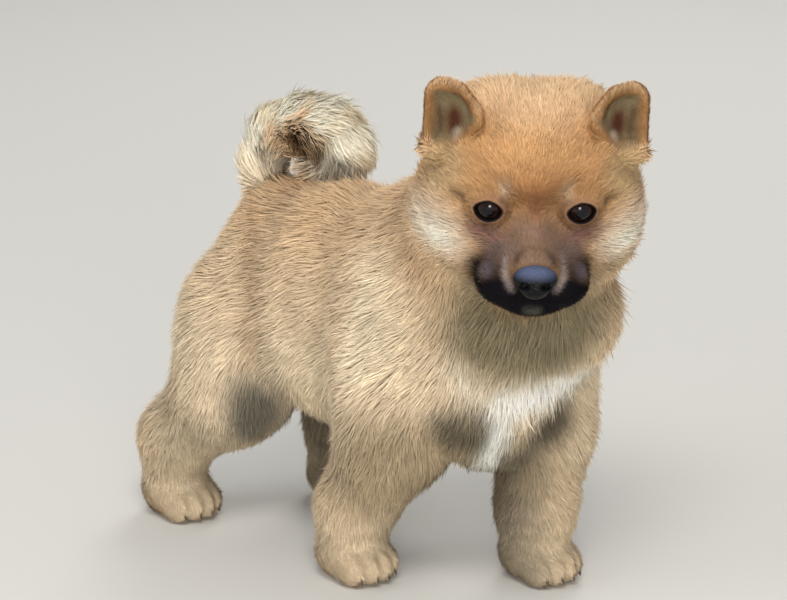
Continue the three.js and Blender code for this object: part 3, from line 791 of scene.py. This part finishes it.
TAN = srgb(214, 188, 154)
BACK = srgb(216, 182, 142)
CREAM = srgb(230, 218, 192)
WHITE = srgb(248, 248, 240)
ORANGE = srgb(188, 144, 98)
# the crown: the head's own orange tan, painted much lighter as painted light falling on the top of
# the head
CROWN_PAINTED_LIGHT = srgb(246, 206, 162)
MASK = srgb(12, 10, 14)
# the ruff's own dark-tipped olive colour, darkened further as painted shade under the head
RUFF_AND_SHADE = srgb(94, 90, 68)
# painted shade: near black brown where the chest meets the tops of the front legs
CHEST_SHADE = srgb(66, 62, 50)
PALE = srgb(196, 178, 150)
# painted shade: darker brown for the creases in front of the thighs and behind the shoulders
CREASE_SHADE = srgb(146, 112, 78)
# painted shade: dark grey for the insides of the legs and the fronts of the thighs
PAINTED_SHADE = srgb(58, 62, 58)
EAR_RIM = srgb(148, 104, 62)
EAR_FUR = srgb(126, 112, 84)
EAR_BACK = srgb(196, 146, 92)
EAR_CANAL_AT = (2.0, 3.0, -1.0)
EAR_CANAL_SIZE = (4.6, 8.5, 6.0)
LID_FUR = srgb(124, 92, 78)
LID_RIM = srgb(18, 15, 18)
TAIL_FUR = srgb(234, 226, 204)
# painted shade: near black inside the tail's curl
CURL_SHADE = srgb(24, 20, 17)
TIP_DARK = srgb(60, 48, 38)
TIP_PALE = srgb(214, 220, 222)

# Each mark's shape, colour and share, and then the place, sizes and soft edge of its shape
BODY_MARKS = {
    "front_legs": (spot, srgb(152, 134, 106), 0.9, (0, -66, 60), (90, 42, 44), 18),
    "hind_legs": (spot, srgb(160, 148, 124), 0.75, (0, 74, 40), (80, 34, 34), 16),
    # painted highlight: cream painted over the shoulders
    "shoulder_highlight": (spot, CREAM, 0.45, (0, -52, 138), (70, 26, 44), 16),
    "rear": (spot, CREAM, 0.7, (0, 124, 112), (50, 34, 56), 16),
    # painted shade in the crease in front of each thigh, and behind each shoulder
    "shade_before_thigh": (
        streak, CREASE_SHADE, 0.8, ((24, 62, 172), (40, 44, 150), (46, 39, 126), (48, 36, 98)), 3, 9
    ),
    "shade_behind_shoulder": (
        streak, CREASE_SHADE, 0.4, ((50, -38, 150), (52, -30, 118), (50, -34, 92)), 3, 8
    ),
}
FACE_MARKS = {
    "forehead": (spot, srgb(130, 88, 52), 0.75, (0, -44, 18), (22, 14, 9), 9),
    "temple": (spot, srgb(188, 162, 122), 0.8, (42, -14, 16), (14, 22, 14), 9),
    "cheek": (spot, srgb(224, 220, 204), 0.9, (43, -20, -13), (14, 28, 11), 14),
    # painted shade under the jaw
    "jaw": (spot, srgb(98, 94, 76), 0.9, (36, -24, -37), (28, 34, 13), 9),
    "under_eye": (spot, srgb(98, 74, 72), 0.8, (22, -40, -4), (9, 12, 6), 6),
    "bridge": (spot, srgb(124, 100, 86), 0.9, (0, -54, -2), (17, 20, 10), 6),
    "beside_bridge": (spot, srgb(96, 84, 84), 0.8, (17, -50, -11), (9, 12, 8), 5),
}
MASK_PARTS = {
    "lips": ((11, -56, -23), (17, 22, 12), 4.5),
    "corner": ((22, -46, -22), (8, 14, 9), 4),
    "chin": ((0, -54, -31), (18, 20, 9), 5),
}
MASK_MARKS = {
    "above_nose": (streak, srgb(46, 36, 38), 0.9, ((7, -54, 1), (8.5, -60, -8)), 1.8, 2.6),
    "beside_nose": (
        streak, srgb(190, 172, 164), 0.8, ((14, -52, -7), (12.5, -62, -14), (9, -68, -20)), 0.8, 2.3
    ),
    "lip_patch": (spot, srgb(104, 96, 106), 0.5, (21, -53, -15), (3.5, 6, 3), 2.4),
    "chin_patch": (spot, srgb(96, 92, 82), 0.5, (0, -60, -31.5), (4, 6, 2.2), 2),
    "between_eyes": (spot, srgb(102, 64, 44), 0.75, (0, -46, 12), (4.5, 10, 7), 5),
    "brow": (spot, CREAM, 0.3, (13.5, -42, 16.5), (2.6, 9, 3.6), 4),
    "fold_under_eye": (
        streak, srgb(150, 98, 88), 0.7, ((14, -44, -4), (20, -42, -6), (27, -37, -4)), 1.0, 1.8
    ),
    "outer_corner": (streak, srgb(52, 38, 32), 0.85, ((26, -37, 8), (37, -28, 9.5)), 1.3, 2.2),
    "inner_corner": (
        streak, srgb(48, 36, 34), 0.8, ((14, -43, 13), (12.5, -44, 8), (11, -46, 2)), 1.2, 2.4
    ),
}
EAR_MARKS = {
    "canal": (spot, srgb(66, 20, 10), 0.9, EAR_CANAL_AT, EAR_CANAL_SIZE, 4),
    "fold": (spot, srgb(70, 46, 30), 0.7, (-4.5, 4, 2), (2, 9, 5), 2.5),
    "pale_hairs": (spot, CREAM, 0.6, (4.5, -3.5, 2), (3.5, 4.5, 6), 2.5),
}


def body_markings(p):
    x, y, z = p
    colour = np.tile(TAN, (p.shape[1], 1))
    colour = mixed(colour, BACK, smoothstep(140, 176, z) * 0.85)
    colour = mixed(colour, CREAM, smoothstep(150, 96, z) * smoothstep(30, 70, z) * 0.35)
    colour = marked(colour, folded(p), BODY_MARKS)
    colour = mixed(colour, PALE, smoothstep(60, 20, z) * 0.75)
    # painted shade between and inside the legs and in front of the thighs
    inner = smoothstep(30, 8, np.abs(x + 2)) * smoothstep(96, 70, z)
    thigh = spot(p, (-42, 40, 66), (16, 16, 24), 11) + spot(p, (38, 22, 66), (16, 16, 24), 11)
    colour = mixed(colour, PAINTED_SHADE, np.clip(inner * 0.6 + thigh * 0.85, 0, 0.85))
    # the ruff under the head: its own dark-tipped colour with painted shade
    ruff = spot(p, (-12, -118, 144), (40, 36, 28), 12)
    colour = mixed(colour, RUFF_AND_SHADE, ruff * 0.85)
    # painted shade where the chest meets the front legs
    chest_shade_share = spot(p, (-28, -100, 90), (18, 20, 16), 9) + spot(p, (16, -104, 88), (15, 20, 14), 8)
    colour = mixed(colour, CHEST_SHADE, np.clip(chest_shade_share, 0, 1) * 0.85)
    left = streak(p, [(-44, -94, 122), (-24, -110, 106)], 6, 8)
    right = streak(p, [(-18, -114, 103), (10, -122, 109), (42, -108, 116)], 8, 9)
    stem = streak(p, [(-18, -114, 104), (-14, -104, 84), (-14, -94, 66)], 5, 6)
    white = np.maximum(np.maximum(right, stem * 0.9), left * 0.25)
    front = smoothstep(-84, -100, y)
    return mixed(colour, WHITE, white * np.maximum(front, 0.6))


def head_markings(q):
    """Colours in the head's own frame, alike on both sides."""
    half = folded(q)
    colour = np.tile(ORANGE, (q.shape[1], 1))
    # painted light: the top of the head painted lighter
    colour = mixed(colour, CROWN_PAINTED_LIGHT, smoothstep(34, 52, q[2]) * 0.95)
    colour = marked(colour, half, FACE_MARKS)
    mask = np.max([spot(half, *sizes) for sizes in MASK_PARTS.values()], axis=0)
    return marked(mixed(colour, MASK, mask), half, MASK_MARKS)


def ear_colours(local):
    edge = outline_distance(local[0], local[1]) - EAR_OUTLINE
    front = smoothstep(-1, 1.5, local[2] - 0.016 * local[0] ** 2)
    front = np.maximum(front, smoothstep(1.5, 0, EAR_CUP(local)))
    inside = marked(np.tile(EAR_FUR, (local.shape[1], 1)), local, EAR_MARKS)
    inside = mixed(inside, EAR_RIM, smoothstep(-3.5, 0.5, edge) * 0.85)
    return mixed(np.tile(EAR_BACK, (local.shape[1], 1)), inside, front)


def markings(p):
    """The coat's colour at points in the dog's frame."""
    q = moved(p, HEAD.inverted())
    face = head_share(p) * smoothstep(-52, -36, q[2])
    colour = mixed(body_markings(p), head_markings(q), face)
    for side in SIDES:
        gap = lid_gap(side, 15)(p)
        colour = mixed(colour, LID_FUR, smoothstep(5.5, 1.5, gap) * 0.55)
        colour = mixed(colour, LID_RIM, smoothstep(1.4, 0.5, gap))
        local = moved(p, ear_matrix(side).inverted())
        colour = mixed(colour, ear_colours(local), ear_share(p, side))

    on_tail = np.tile(TAIL_FUR, (p.shape[1], 1))
    on_tail = mixed(on_tail, BACK, smoothstep(192, 170, p[2]) * smoothstep(60, 76, p[1]) * 0.5)
    # painted shade filling the middle of the tail's curl
    on_tail = mixed(on_tail, CURL_SHADE, smoothstep(18.5, 14.5, curl_radius(p)) * 0.97)
    on_tail = mixed(on_tail, TIP_DARK, spot(p, (8, 36, 184), (14, 6, 7), 4) * 0.85)
    on_tail = mixed(on_tail, TIP_PALE, spot(p, (5, 46, 187), (8, 3, 4), 2.5) * 0.7)
    return np.clip(mixed(colour, on_tail, tail_share(p)), 0, 1)


def fur_material(name, rough):
    """Painted colours, varied a little by a fine noise."""
    material, nodes, links, shader = new_material(name)
    colour = add_node(nodes, "VertexColor")
    colour.layer_name = COLOURS
    noise = add_node(nodes, "TexNoise", Scale=140, Detail=4)
    vary = add_node(nodes, "MapRange", **{"To Min": 0.82, "To Max": 1.16})
    scale = add_node(nodes, "VectorMath")
    scale.operation = "SCALE"
    coordinates = add_node(nodes, "TexCoord")
    links.new(coordinates.outputs["Object"], noise.inputs["Vector"])
    links.new(noise.outputs["Fac"], vary.inputs["Value"])
    links.new(colour.outputs["Color"], scale.inputs[0])
    links.new(vary.outputs["Result"], scale.inputs["Scale"])
    links.new(scale.outputs["Vector"], shader.inputs["Base Color"])
    shader.inputs["Roughness"].default_value = rough
    shader.inputs["Specular IOR Level"].default_value = 0.08
    return material, nodes, links, shader


def add_bump(nodes, links, shader, height, strength, depth):
    bump = add_node(nodes, "Bump", Strength=strength, Distance=depth)
    links.new(height, bump.inputs["Height"])
    links.new(bump.outputs["Normal"], shader.inputs["Normal"])


def skin_material():
    material, nodes, links, shader = fur_material("skin", 0.75)
    fine = add_node(nodes, "TexNoise", Scale=900, Detail=5)
    add_bump(nodes, links, shader, fine.outputs["Fac"], 0.5, 0.0006)
    return material


# The skin


def graded(low, high, fine_from, fine_to, fine, coarse):
    """Grid lines from low to high, closer together between two of them."""
    lines = [np.arange(fine_from, low, -coarse)[::-1], np.arange(fine_from, fine_to, fine)]
    lines.append(np.arange(fine_to, high + coarse, coarse))
    return np.unique(np.concatenate(lines).round(4))


FINE, COARSE = 1.2, 2.6
GRID = (
    graded(-72, 82, -66, 46, FINE, COARSE),
    graded(-190, 134, -186, -80, FINE, COARSE),
    graded(-4, 268, 160, 264, FINE, COARSE),
)
skin_shape = skin_field()
skin_points, skin_quads = surface_nets(skin_shape, GRID)
skin_points = settled(skin_shape, skin_points, 1.0)
skin_faces = np.concatenate([skin_quads[:, (0, 1, 2)], skin_quads[:, (0, 2, 3)]])
EYE_SPOTS = [np.array(from_head(mirrored((19, -42, 7), side))) for side in SIDES]
MOUTH_SPOTS = [np.array(from_head((x, -58, -24))) for x in (-14, 0, 14)]
EAR_SPOTS = [np.array(from_head(mirrored((42, -16, 42), side))) for side in SIDES]
REFINED = ((EYE_SPOTS + MOUTH_SPOTS, 17), (EAR_SPOTS, 24), (EYE_SPOTS, 12))
for spots, reach in REFINED:
    skin_points, skin_faces = refined(skin_points, skin_faces, spots, reach)
    close = np.any([np.linalg.norm(skin_points - c, axis=1) < reach + 1 for c in spots], axis=0)
    skin_points[close] = settled(skin_shape, skin_points[close], 0.5)
FLESH = [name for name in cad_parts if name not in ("eye_left", "eye_right", "nose")]
skin = piece_from("skin", skin_points, skin_faces, skin_material(), "coat")
paint(skin, markings(skin_points.T))
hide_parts(*FLESH)


def unwrapped(piece, name):
    """Unwraps a piece by its own shape and gives the places of its faces' corners."""
    bpy.context.view_layer.objects.active = piece
    piece.select_set(True)
    bpy.ops.object.mode_set(mode="EDIT")
    bpy.ops.mesh.select_all(action="SELECT")
    bpy.ops.uv.smart_project(angle_limit=1.15, island_margin=0.002)
    bpy.ops.object.mode_set(mode="OBJECT")
    piece.select_set(False)
    layer = piece.data.uv_layers[0]
    layer.name = name
    places = np.empty(len(layer.data) * 2, np.float32)
    layer.data.foreach_get("uv", places)
    return places.reshape(-1, 3, 2)


skin_places = unwrapped(skin, "OFBake")

# The coat: closed tapered locks, each rooted under the skin and lying along the body

WAVES = 6
WAVE_HEIGHT = 2.6


def wave(p, size, turn):
    """A smooth seeded wobble between about -1 and 1, with bumps of about the given size."""
    rng = np.random.default_rng(turn)
    total = np.zeros(p.shape[1])
    for _ in range(WAVES):
        direction = rng.normal(size=3)
        direction *= 2 * math.pi / size / np.linalg.norm(direction) * rng.uniform(0.7, 1.4)
        total += np.sin(direction @ p + rng.uniform(0, 6.3))
    return total / WAVE_HEIGHT


def tail_frame(p):
    """The nearest stretch of the tail's centre line: direction there and the way out from it."""
    best = np.full(p.shape[1], 1e9)
    direction = np.zeros((3, p.shape[1]))
    outward = np.zeros((3, p.shape[1]))
    for i in range(len(TAIL) - 1):
        start, end = TAIL[i, :3], TAIL[i + 1, :3]
        axis = end - start
        t = np.clip(((p.T - start) @ axis) / (axis @ axis), 0, 1)
        gap = p.T - start - t[:, None] * axis
        distance = np.sqrt((gap * gap).sum(1))
        closer = distance < best
        best = np.where(closer, distance, best)
        direction[:, closer] = (axis / np.linalg.norm(axis))[:, None]
        outward[:, closer] = unit(gap.T[:, closer])
    return direction, outward


# Length, half width, height and density, as coat_style gives them
EAR_STYLE = np.array([[4.2], [0.28], [0.3], [2.6]])
TAIL_STYLE = np.array([[15], [0.40], [2.5], [2.6]])
CURL_SHORTER = 6


def along(direction, normal):
    return unit(direction - normal * (direction * normal).sum(0))


def lie(p, normal):
    """Which way the coat lies at points on the skin."""
    x, y, z = p
    body = column(0, 0.8, -0.55) + column(0.004, 0, 0) * x
    body = between(body, column(0, 0.12, -1), smoothstep(118, 78, z))
    chest = column(0, 0.1, -1) + column(0.012, 0, 0) * x
    body = between(body, chest, smoothstep(-66, -100, y))
    body = between(body, column(0, -0.8, -0.6), smoothstep(24, 12, z))

    q = moved(p, HEAD.inverted())
    flow = unit(q - column(0, -74, -14))
    flow[2] -= 0.35 * smoothstep(0, -30, q[2]) + 0.25 * smoothstep(0, 30, q[1])
    way = between(body, turned(flow, HEAD), head_share(p))
    for side in SIDES:
        up = turned(column(0.15, 1, 0), ear_matrix(side))
        way = between(way, up, ear_share(p, side))
    axis, outward = tail_frame(p)
    way = between(way, axis + 0.75 * outward, tail_share(p))
    sideways = np.cross(normal, way, axis=0)
    return along(way + sideways * 0.22 * wave(p, 26, 3) + sideways * 0.16 * wave(p, 9, 5), normal)


def coat_style(p):
    """Length, half width, height of the tips over the coat's depth, and locks per square mm."""
    z = p[2]
    long = np.interp(z, (4, 18, 40, 75, 105), (2.6, 4.2, 7, 10, 12.5))
    wide = np.interp(z, (4, 25, 60, 105), (0.26, 0.32, 0.38, 0.42))
    dense = np.interp(z, (4, 25, 60, 105), (1.9, 1.6, 1.4, 1.3))
    ruff = spot(p, (4, -120, 140), (60, 40, 44), 14)
    rear = spot(p, (0, 122, 104), (56, 30, 52), 16)
    plush = np.clip(ruff + rear, 0, 1)
    style = np.stack([long + 4 * plush, wide, 1 + 2.0 * plush, dense])

    q = moved(p, HEAD.inverted())
    back = smoothstep(-34, 14, q[1])
    muzzle = smoothstep(-38, -50, q[1])
    cheek = spot(folded(q), (40, 0, -16), (18, 26, 24), 10)
    eye_gap = np.minimum(*(lid_gap(side, 26, 20.0)(p) for side in SIDES))
    by_eye = smoothstep(10, 1, eye_gap)
    long = (4.6 + 5.0 * back - 2.2 * muzzle + 3.5 * cheek) * (1 - 0.6 * by_eye)
    wide = 0.30 + 0.1 * back - 0.07 * muzzle - 0.06 * by_eye
    dense = 2.3 - 0.8 * back + 1.4 * muzzle + 1.2 * by_eye
    style = between(style, np.stack([long, wide, 0.4 + 1.6 * cheek, dense]), head_share(p))
    for side in SIDES:
        root = column(*from_head(mirrored((40, -14, 30), side)))
        by_ear = smoothstep(30, 19, np.sqrt(((p - root) ** 2).sum(0)))
        style[0] = np.minimum(style[0], 12 - 8.5 * by_ear)
        style = between(style, EAR_STYLE, ear_share(p, side))
    tail_style = np.repeat(TAIL_STYLE, len(z), 1)
    tail_style[0] -= CURL_SHORTER * smoothstep(19, 13, curl_radius(p))
    return between(style, tail_style, tail_share(p))


def bare(p):
    """Where no fur grows: the lids' edges, the line of the mouth, the ears' cups and the soles."""
    keep = np.ones(p.shape[1])
    for side in SIDES:
        keep *= smoothstep(0.9, 2.2, lid_gap(side, 16)(p))
        local = moved(p, ear_matrix(side).inverted())
        canal = spot(local, EAR_CANAL_AT, EAR_CANAL_SIZE, 2.5)
        keep *= 1 - 0.7 * canal * ear_share(p, side)
    keep *= smoothstep(-0.1, 0.8, near(groove_field, MUZZLE_MIDDLE, 40)(p))
    nose = near(in_frame(HEAD, nose_field), from_head(NOSE_AT), 20)
    keep *= smoothstep(0.0, 1.2, nose(p))
    keep *= smoothstep(1.0, 2.5, p[2])
    return keep


def roots(points, faces, normals):
    """Seeded roots spread over the skin: places, normals and where they are on the unwrap."""
    middle = points[faces].mean(1)
    order = np.lexsort(tuple((middle // CELL).astype(int).T))
    faces, places = faces[order], skin_places[order]
    a, b, c = (points[faces[:, i]] for i in range(3))
    area = np.linalg.norm(np.cross(b - a, c - a), axis=1) / 2
    middle = ((a + b + c) / 3).T
    dense = coat_style(middle)[3] * bare(middle)
    total = np.cumsum(area * dense)
    count = int(total[-1])
    at = (np.arange(count) + random.random(count)) * total[-1] / count
    face = np.minimum(np.searchsorted(total, at), len(faces) - 1)
    r, s = random.random((2, count))
    flip = r + s > 1
    r, s = np.where(flip, 1 - r, r), np.where(flip, 1 - s, s)
    weights = np.stack([1 - r - s, r, s], 1)[:, :, None]
    return (
        (points[faces[face]] * weights).sum(1).T,
        unit((normals[faces[face]] * weights).sum(1).T),
        (places[face] * weights).sum(1),
    )


CELL = 3.0  # roots are spread evenly over cells of this size
SINK = 1.2  # how far under the skin a lock starts
ROOF = 0.4  # a lock's height over its half width
BEND = 0.62  # how soon along its length a lock has risen
LIFT_MOST, DROP_MOST = 19, 6
LOWEST = 0.2  # nothing hangs lower than this over the floor
STATIONS = {"long": ((0.28, 1.0), (0.68, 0.72)), "short": ((0.36, 1.0),)}
CAP_START = ((0, 2, 1), (0, 3, 2), (0, 1, 3))
RING_STEP = ((1, 2, 5), (1, 5, 4), (2, 3, 6), (2, 6, 5), (3, 1, 4), (3, 4, 6))
LONG_FROM = 14.0  # locks shorter than this have one ring in place of two


def lock_points(kind, p, normal, way, long, wide, height, sway):
    """The points of closed locks, as (lock, point, xyz), and how far along each point is."""
    edge = np.cross(way, normal, axis=0)
    centres = []
    shares = [0.0, *(t for t, _ in STATIONS[kind]), 1.0]
    for t in shares:
        place = p + way * long * t + edge * sway * t * t
        goal = -SINK + (height + SINK) * min(1.0, t * 1.05) ** BEND
        if t > 0:
            off = skin_shape(place.astype(np.float32)) - goal
            place = place - normal * np.clip(off, -LIFT_MOST, DROP_MOST)
        else:
            place = p - normal * SINK
        centres.append(place)
    points, along_lock, across = [centres[0]], [0.0], [0.0]
    for i, (t, share) in enumerate(STATIONS[kind], 1):
        tangent = unit(centres[i + 1] - centres[i - 1])
        up = unit(np.cross(edge, tangent, axis=0))
        points.append(centres[i] + up * wide * share * ROOF)
        points.append(centres[i] + edge * wide * share)
        points.append(centres[i] - edge * wide * share)
        along_lock += [t] * 3
        across += [0.0, 0.5, -0.5]
    points.append(centres[-1])
    return np.stack(points, 1).transpose(2, 1, 0), [*along_lock, 1.0], [*across, 0.0]


def lock_faces(kind):
    rings = len(STATIONS[kind])
    last = 1 + 3 * rings
    faces = list(CAP_START)
    if rings == 2:
        faces += RING_STEP
    base = last - 3
    faces += [(base, base + 1, last), (base + 1, base + 2, last), (base + 2, base, last)]
    tops = set(range(1, last, 3))
    under = [tops.isdisjoint(f) for f in faces]
    return np.array(faces), np.where(under, -1.0, 1.0)


def region_of(p):
    """The piece that each lock belongs to."""
    x, y, z = p
    names = np.where(x > 0, "left", "right").astype(object)
    names = np.where(y > 24, "coat_rear_", "coat_side_").astype(object) + names
    leg = z < 96
    ends = np.where(y > 0, "coat_hind_", "coat_front_").astype(object)
    middle = np.where(y > 0, 0, -4)
    names[leg] = (ends + np.where(x > middle, "left_leg", "right_leg").astype(object))[leg]
    names[(y < -72) & (z >= 80)] = "coat_chest"
    names[z < 24] = "coat_paws"
    q = moved(p, HEAD.inverted())
    head = head_share(p) > 0.5
    names[head] = np.where(q[0] > 0, "coat_head_left", "coat_head_right").astype(object)[head]
    names[head & (q[1] < -44)] = "coat_muzzle"
    names[(ear_share(p, 1) + ear_share(p, -1)) > 0.5] = "coat_ears"
    names[tail_share(p) > 0.5] = "coat_tail"
    return names


SLOTS = {"coat_muzzle": "mask_fur", "coat_paws": "pale_fur"}
PATCH = 0.003  # each lock's size on the unwrap


def lock_colours(base, tips, shade, pale, t):
    """Colours along locks: darker at the roots, which is painted shade, and on some locks paler
    towards the tips.
    """
    colour = between(base[:, None], tips[:, None], t)
    cream = np.minimum(1, colour * 1.5 + 0.03 * colour.mean(2, keepdims=True))
    colour = between(colour, cream, pale[:, None, None] * t**1.5)
    # painted shade: the lower part of each lock darkened, as the coat shades its own roots
    colour = colour * (0.8 + 0.2 * np.minimum(1, t * 1.9)) * shade[:, None, None]
    return np.clip(colour, 0, 1)


def grow_coat():
    normals = np.empty(len(skin_points) * 3, np.float32)
    skin.data.vertex_normals.foreach_get("vector", normals)
    p, normal, places = roots(skin_points, skin_faces, normals.reshape(-1, 3).astype(float))
    count = p.shape[1]
    way = lie(p, normal)
    long, wide, rise, _ = coat_style(p)
    long = long * random.uniform(0.75, 1.15, count) * (1 + 0.12 * wave(p, 12, 8))
    wide = wide * random.uniform(0.7, 1.2, count)
    depth = coat_depth(p)
    for side in SIDES:
        depth = depth * (1 - 0.9 * ear_share(p, side))
    depth = between(depth, 6.5 + 13 * smoothstep(20, 14, curl_radius(p)), tail_share(p))
    fliers = random.random(count) < 0.06
    lift = random.uniform(0.35, 1.0, count) + 0.25 * fliers
    height = np.maximum(depth * lift + rise * random.random(count) * (1 + fliers), 0.4)
    sway = long * random.normal(0, 0.10, count)
    base = markings(p)
    tips = markings(p + normal * depth + way * long * 0.6)
    shade = random.normal(1, 0.1, count) * (1 + 0.06 * wave(p, 7, 21) + 0.05 * wave(p, 28, 33))
    pale = np.where(random.random(count) < 0.25, 0.6, 0.12)
    names = region_of(p)
    material = fur_material("coat_fur", 0.72)[0]
    for name in sorted(set(names)):
        chosen = np.flatnonzero(names == name)
        groups = {
            "long": chosen[long[chosen] >= LONG_FROM],
            "short": chosen[long[chosen] < LONG_FROM],
        }
        parts = [[], [], [], [], []]
        total = 0
        for kind, who in groups.items():
            if not len(who):
                continue
            picked = (v[..., who] for v in (p, normal, way, long, wide, height, sway))
            points, along_lock, across = lock_points(kind, *picked)
            points[..., 2] = np.maximum(points[..., 2], LOWEST)
            size = points.shape[1]
            faces, facing = lock_faces(kind)
            faces = faces[None] + (total + size * np.arange(len(who)))[:, None, None]
            total += size * len(who)
            t = np.array(along_lock)
            colour = lock_colours(base[who], tips[who], shade[who], pale[who], t[None, :, None])
            place = places[who][:, None] + PATCH * np.stack([across, t - 0.5], 1)
            soft = normal[:, who].T[:, None, None] * facing[None, :, None, None]
            soft = np.repeat(soft, 3, axis=2)
            for part, values in zip(parts, (points, faces, colour, place, soft)):
                part.append(values.reshape(-1, values.shape[-1]))
        points, faces, colour, place, soft = (np.concatenate(part) for part in parts)
        piece = piece_from(name, points, faces, material, SLOTS.get(name, "coat"))
        paint(piece, colour)
        layer = piece.data.uv_layers.new(name="OFBake")
        layer.data.foreach_set("uv", place[faces.ravel()].astype(np.float32).ravel())
        piece.data.normals_split_custom_set(soft.astype(np.float32))


grow_coat()

# Eyes, nose leather and claws


def surface_of_rings(rings, start, end):
    """A closed surface through rings of points, with a point at each end."""
    sides = rings.shape[1]
    points = np.concatenate([[start], rings.reshape(-1, 3), [end]])
    faces = []
    for i in range(sides):
        j = (i + 1) % sides
        faces.append((0, 1 + j, 1 + i, 1 + i))
        for r in range(len(rings) - 1):
            a, b = 1 + r * sides + i, 1 + r * sides + j
            faces.append((a, b, b + sides, a + sides))
        last = 1 + (len(rings) - 1) * sides
        faces.append((last + i, last + j, len(points) - 1, len(points) - 1))
    return points, faces


def triangles(faces):
    """Quads as triangles, leaving out those that close up."""
    out = []
    for a, b, c, d in faces:
        out.append((a, b, c))
        if c != d:
            out.append((a, c, d))
    out = np.array(out)
    good = (out[:, 0] != out[:, 1]) & (out[:, 1] != out[:, 2]) & (out[:, 0] != out[:, 2])
    return out[good]


def wet_material(name, rough, specular, cell_scale, strength, depth):
    """Smooth moist skin or horn: painted colours, a bump of fine cells and its own roughness and
    specular level.
    """
    material, nodes, links, shader = fur_material(name, rough)
    shader.inputs["Specular IOR Level"].default_value = specular
    cells = add_node(nodes, "TexVoronoi", Scale=cell_scale)
    coordinates = add_node(nodes, "TexCoord")
    links.new(coordinates.outputs["Object"], cells.inputs["Vector"])
    add_bump(nodes, links, shader, cells.outputs["Distance"], strength, depth)
    return material


IRIS = srgb(34, 19, 12)
IRIS_RIM = (0.004, 0.003, 0.003)
PUPIL = (0.003, 0.003, 0.004)
EYE_WHITE = srgb(150, 128, 122) * 0.35
PUPIL_ANGLE = 0.36
RIM_ANGLE = 0.68
IRIS_ANGLE = 0.86
EYE_INSET = 0.25  # the eyeball's radius is this much under the driving one
CORNEA = (0.45, 0.62)  # how far it stands out and how wide it is


def make_eyes():
    material = wet_material("eye_wet", 0.04, 0.24, 700, 0.0, 0.0001)
    for side, name in ((1, "eye_left"), (-1, "eye_right")):
        bends = np.linspace(0, math.pi, 42)[1:-1]
        turns = np.linspace(0, 2 * math.pi, 48, endpoint=False)
        radius = EYE_RADIUS - EYE_INSET + CORNEA[0] * np.exp(-((bends / CORNEA[1]) ** 4))
        rings = np.stack(
            [
                radius[:, None] * np.sin(bends)[:, None] * np.cos(turns),
                radius[:, None] * np.sin(bends)[:, None] * -np.sin(turns),
                np.repeat((radius * np.cos(bends))[:, None], len(turns), 1),
            ],
            2,
        )
        front, back = (0, 0, EYE_RADIUS + 0.2), (0, 0, -EYE_RADIUS + EYE_INSET)
        points, faces = surface_of_rings(rings, front, back)
        bend = np.arctan2(np.hypot(points[:, 0], points[:, 1]), points[:, 2])
        turn = np.arctan2(points[:, 1], points[:, 0])
        fibres = 0.75 + 0.25 * np.sin(turn * 31) * np.sin(turn * 13 + 1)
        colour = IRIS * fibres[:, None]
        pupil = smoothstep(PUPIL_ANGLE + 0.05, PUPIL_ANGLE - 0.03, bend)
        colour = mixed(colour, PUPIL, pupil)
        colour = mixed(colour, IRIS_RIM, smoothstep(RIM_ANGLE, IRIS_ANGLE - 0.05, bend))
        colour = mixed(colour, EYE_WHITE, smoothstep(IRIS_ANGLE, IRIS_ANGLE + 0.12, bend))
        placed = moved(points.T, opening_matrix(side)).T
        eye = piece_from(name + "_wet", placed, triangles(faces), material, "eye")
        paint(eye, colour)
        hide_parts(name)


NOSE_STEP = 0.45
NOSE_BLACK = srgb(8, 7, 9)
# painted reflection: blue grey sky shine on the top of the nose leather
NOSE_PAINTED_SHINE = srgb(88, 98, 128)


def make_nose():
    ranges = ((-13, 13.1), (-80, -57), (-24.5, -2))
    lines = [np.arange(low, high, NOSE_STEP) for low, high in ranges]
    points, quads = surface_nets(nose_field, lines)
    points = settled(nose_field, points, 0.4)
    material = wet_material("nose_leather", 0.42, 0.14, 1100, 0.8, 0.0004)
    # painted reflection: the top of the leather painted blue grey as the sky's shine
    shine_share = smoothstep(-10.5, -5, points[:, 2])
    colour = mixed(np.tile(NOSE_BLACK, (len(points), 1)), NOSE_PAINTED_SHINE, shine_share * 0.8)
    nose = piece_from("nose_leather", moved(points.T, HEAD).T, quads, material, "nose_leather")
    paint(nose, colour)
    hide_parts("nose")


CLAW = {"radius": 1.7, "length": 7.2, "sides": 10, "stations": 8}
CLAW_ROOT = srgb(128, 106, 88)
CLAW_TIP = srgb(46, 38, 34)


def claw_way(bend):
    return np.array((0, -math.cos(bend), -math.sin(bend)))


def make_claws():
    turns = np.linspace(0, 2 * math.pi, CLAW["sides"], endpoint=False)
    across = np.array((1.0, 0, 0))
    all_points, all_faces, all_colours = [], [], []
    total = 0
    for paw in PAWS.values():
        for n in TOES:
            x, y, z = toe_at(paw, n)
            root = np.array((x, y - 4.5, z - 0.2))
            rings = []
            for i in range(CLAW["stations"]):
                t = i / CLAW["stations"]
                bend = 0.35 + 0.75 * t
                centre = root + CLAW["length"] * t * claw_way(bend * 0.8)
                radius = CLAW["radius"] * (1 - t) ** 0.6
                up = np.array((0, -math.sin(bend), math.cos(bend)))
                ring = np.cos(turns)[:, None] * up * 1.15 - np.sin(turns)[:, None] * across * 0.8
                rings.append(centre + radius * ring)
            tip = root + CLAW["length"] * claw_way(0.88)
            points, faces = surface_of_rings(np.array(rings), root + (0, 1, 0), tip)
            all_faces.append(triangles(faces) + total)
            total += len(points)
            share = np.clip((root[1] - points[:, 1]) / 6, 0, 1)
            all_points.append(points)
            all_colours.append(mixed(np.tile(CLAW_ROOT, (len(points), 1)), CLAW_TIP, share))
    material = wet_material("claw_horn", 0.38, 0.5, 500, 0.15, 0.0001)
    points, faces = np.concatenate(all_points), np.concatenate(all_faces)
    points[:, 2] = np.maximum(points[:, 2], LOWEST)
    claws = piece_from("claws", points, faces, material, "nose_leather")
    paint(claws, np.concatenate(all_colours))


make_eyes()
make_nose()
make_claws()
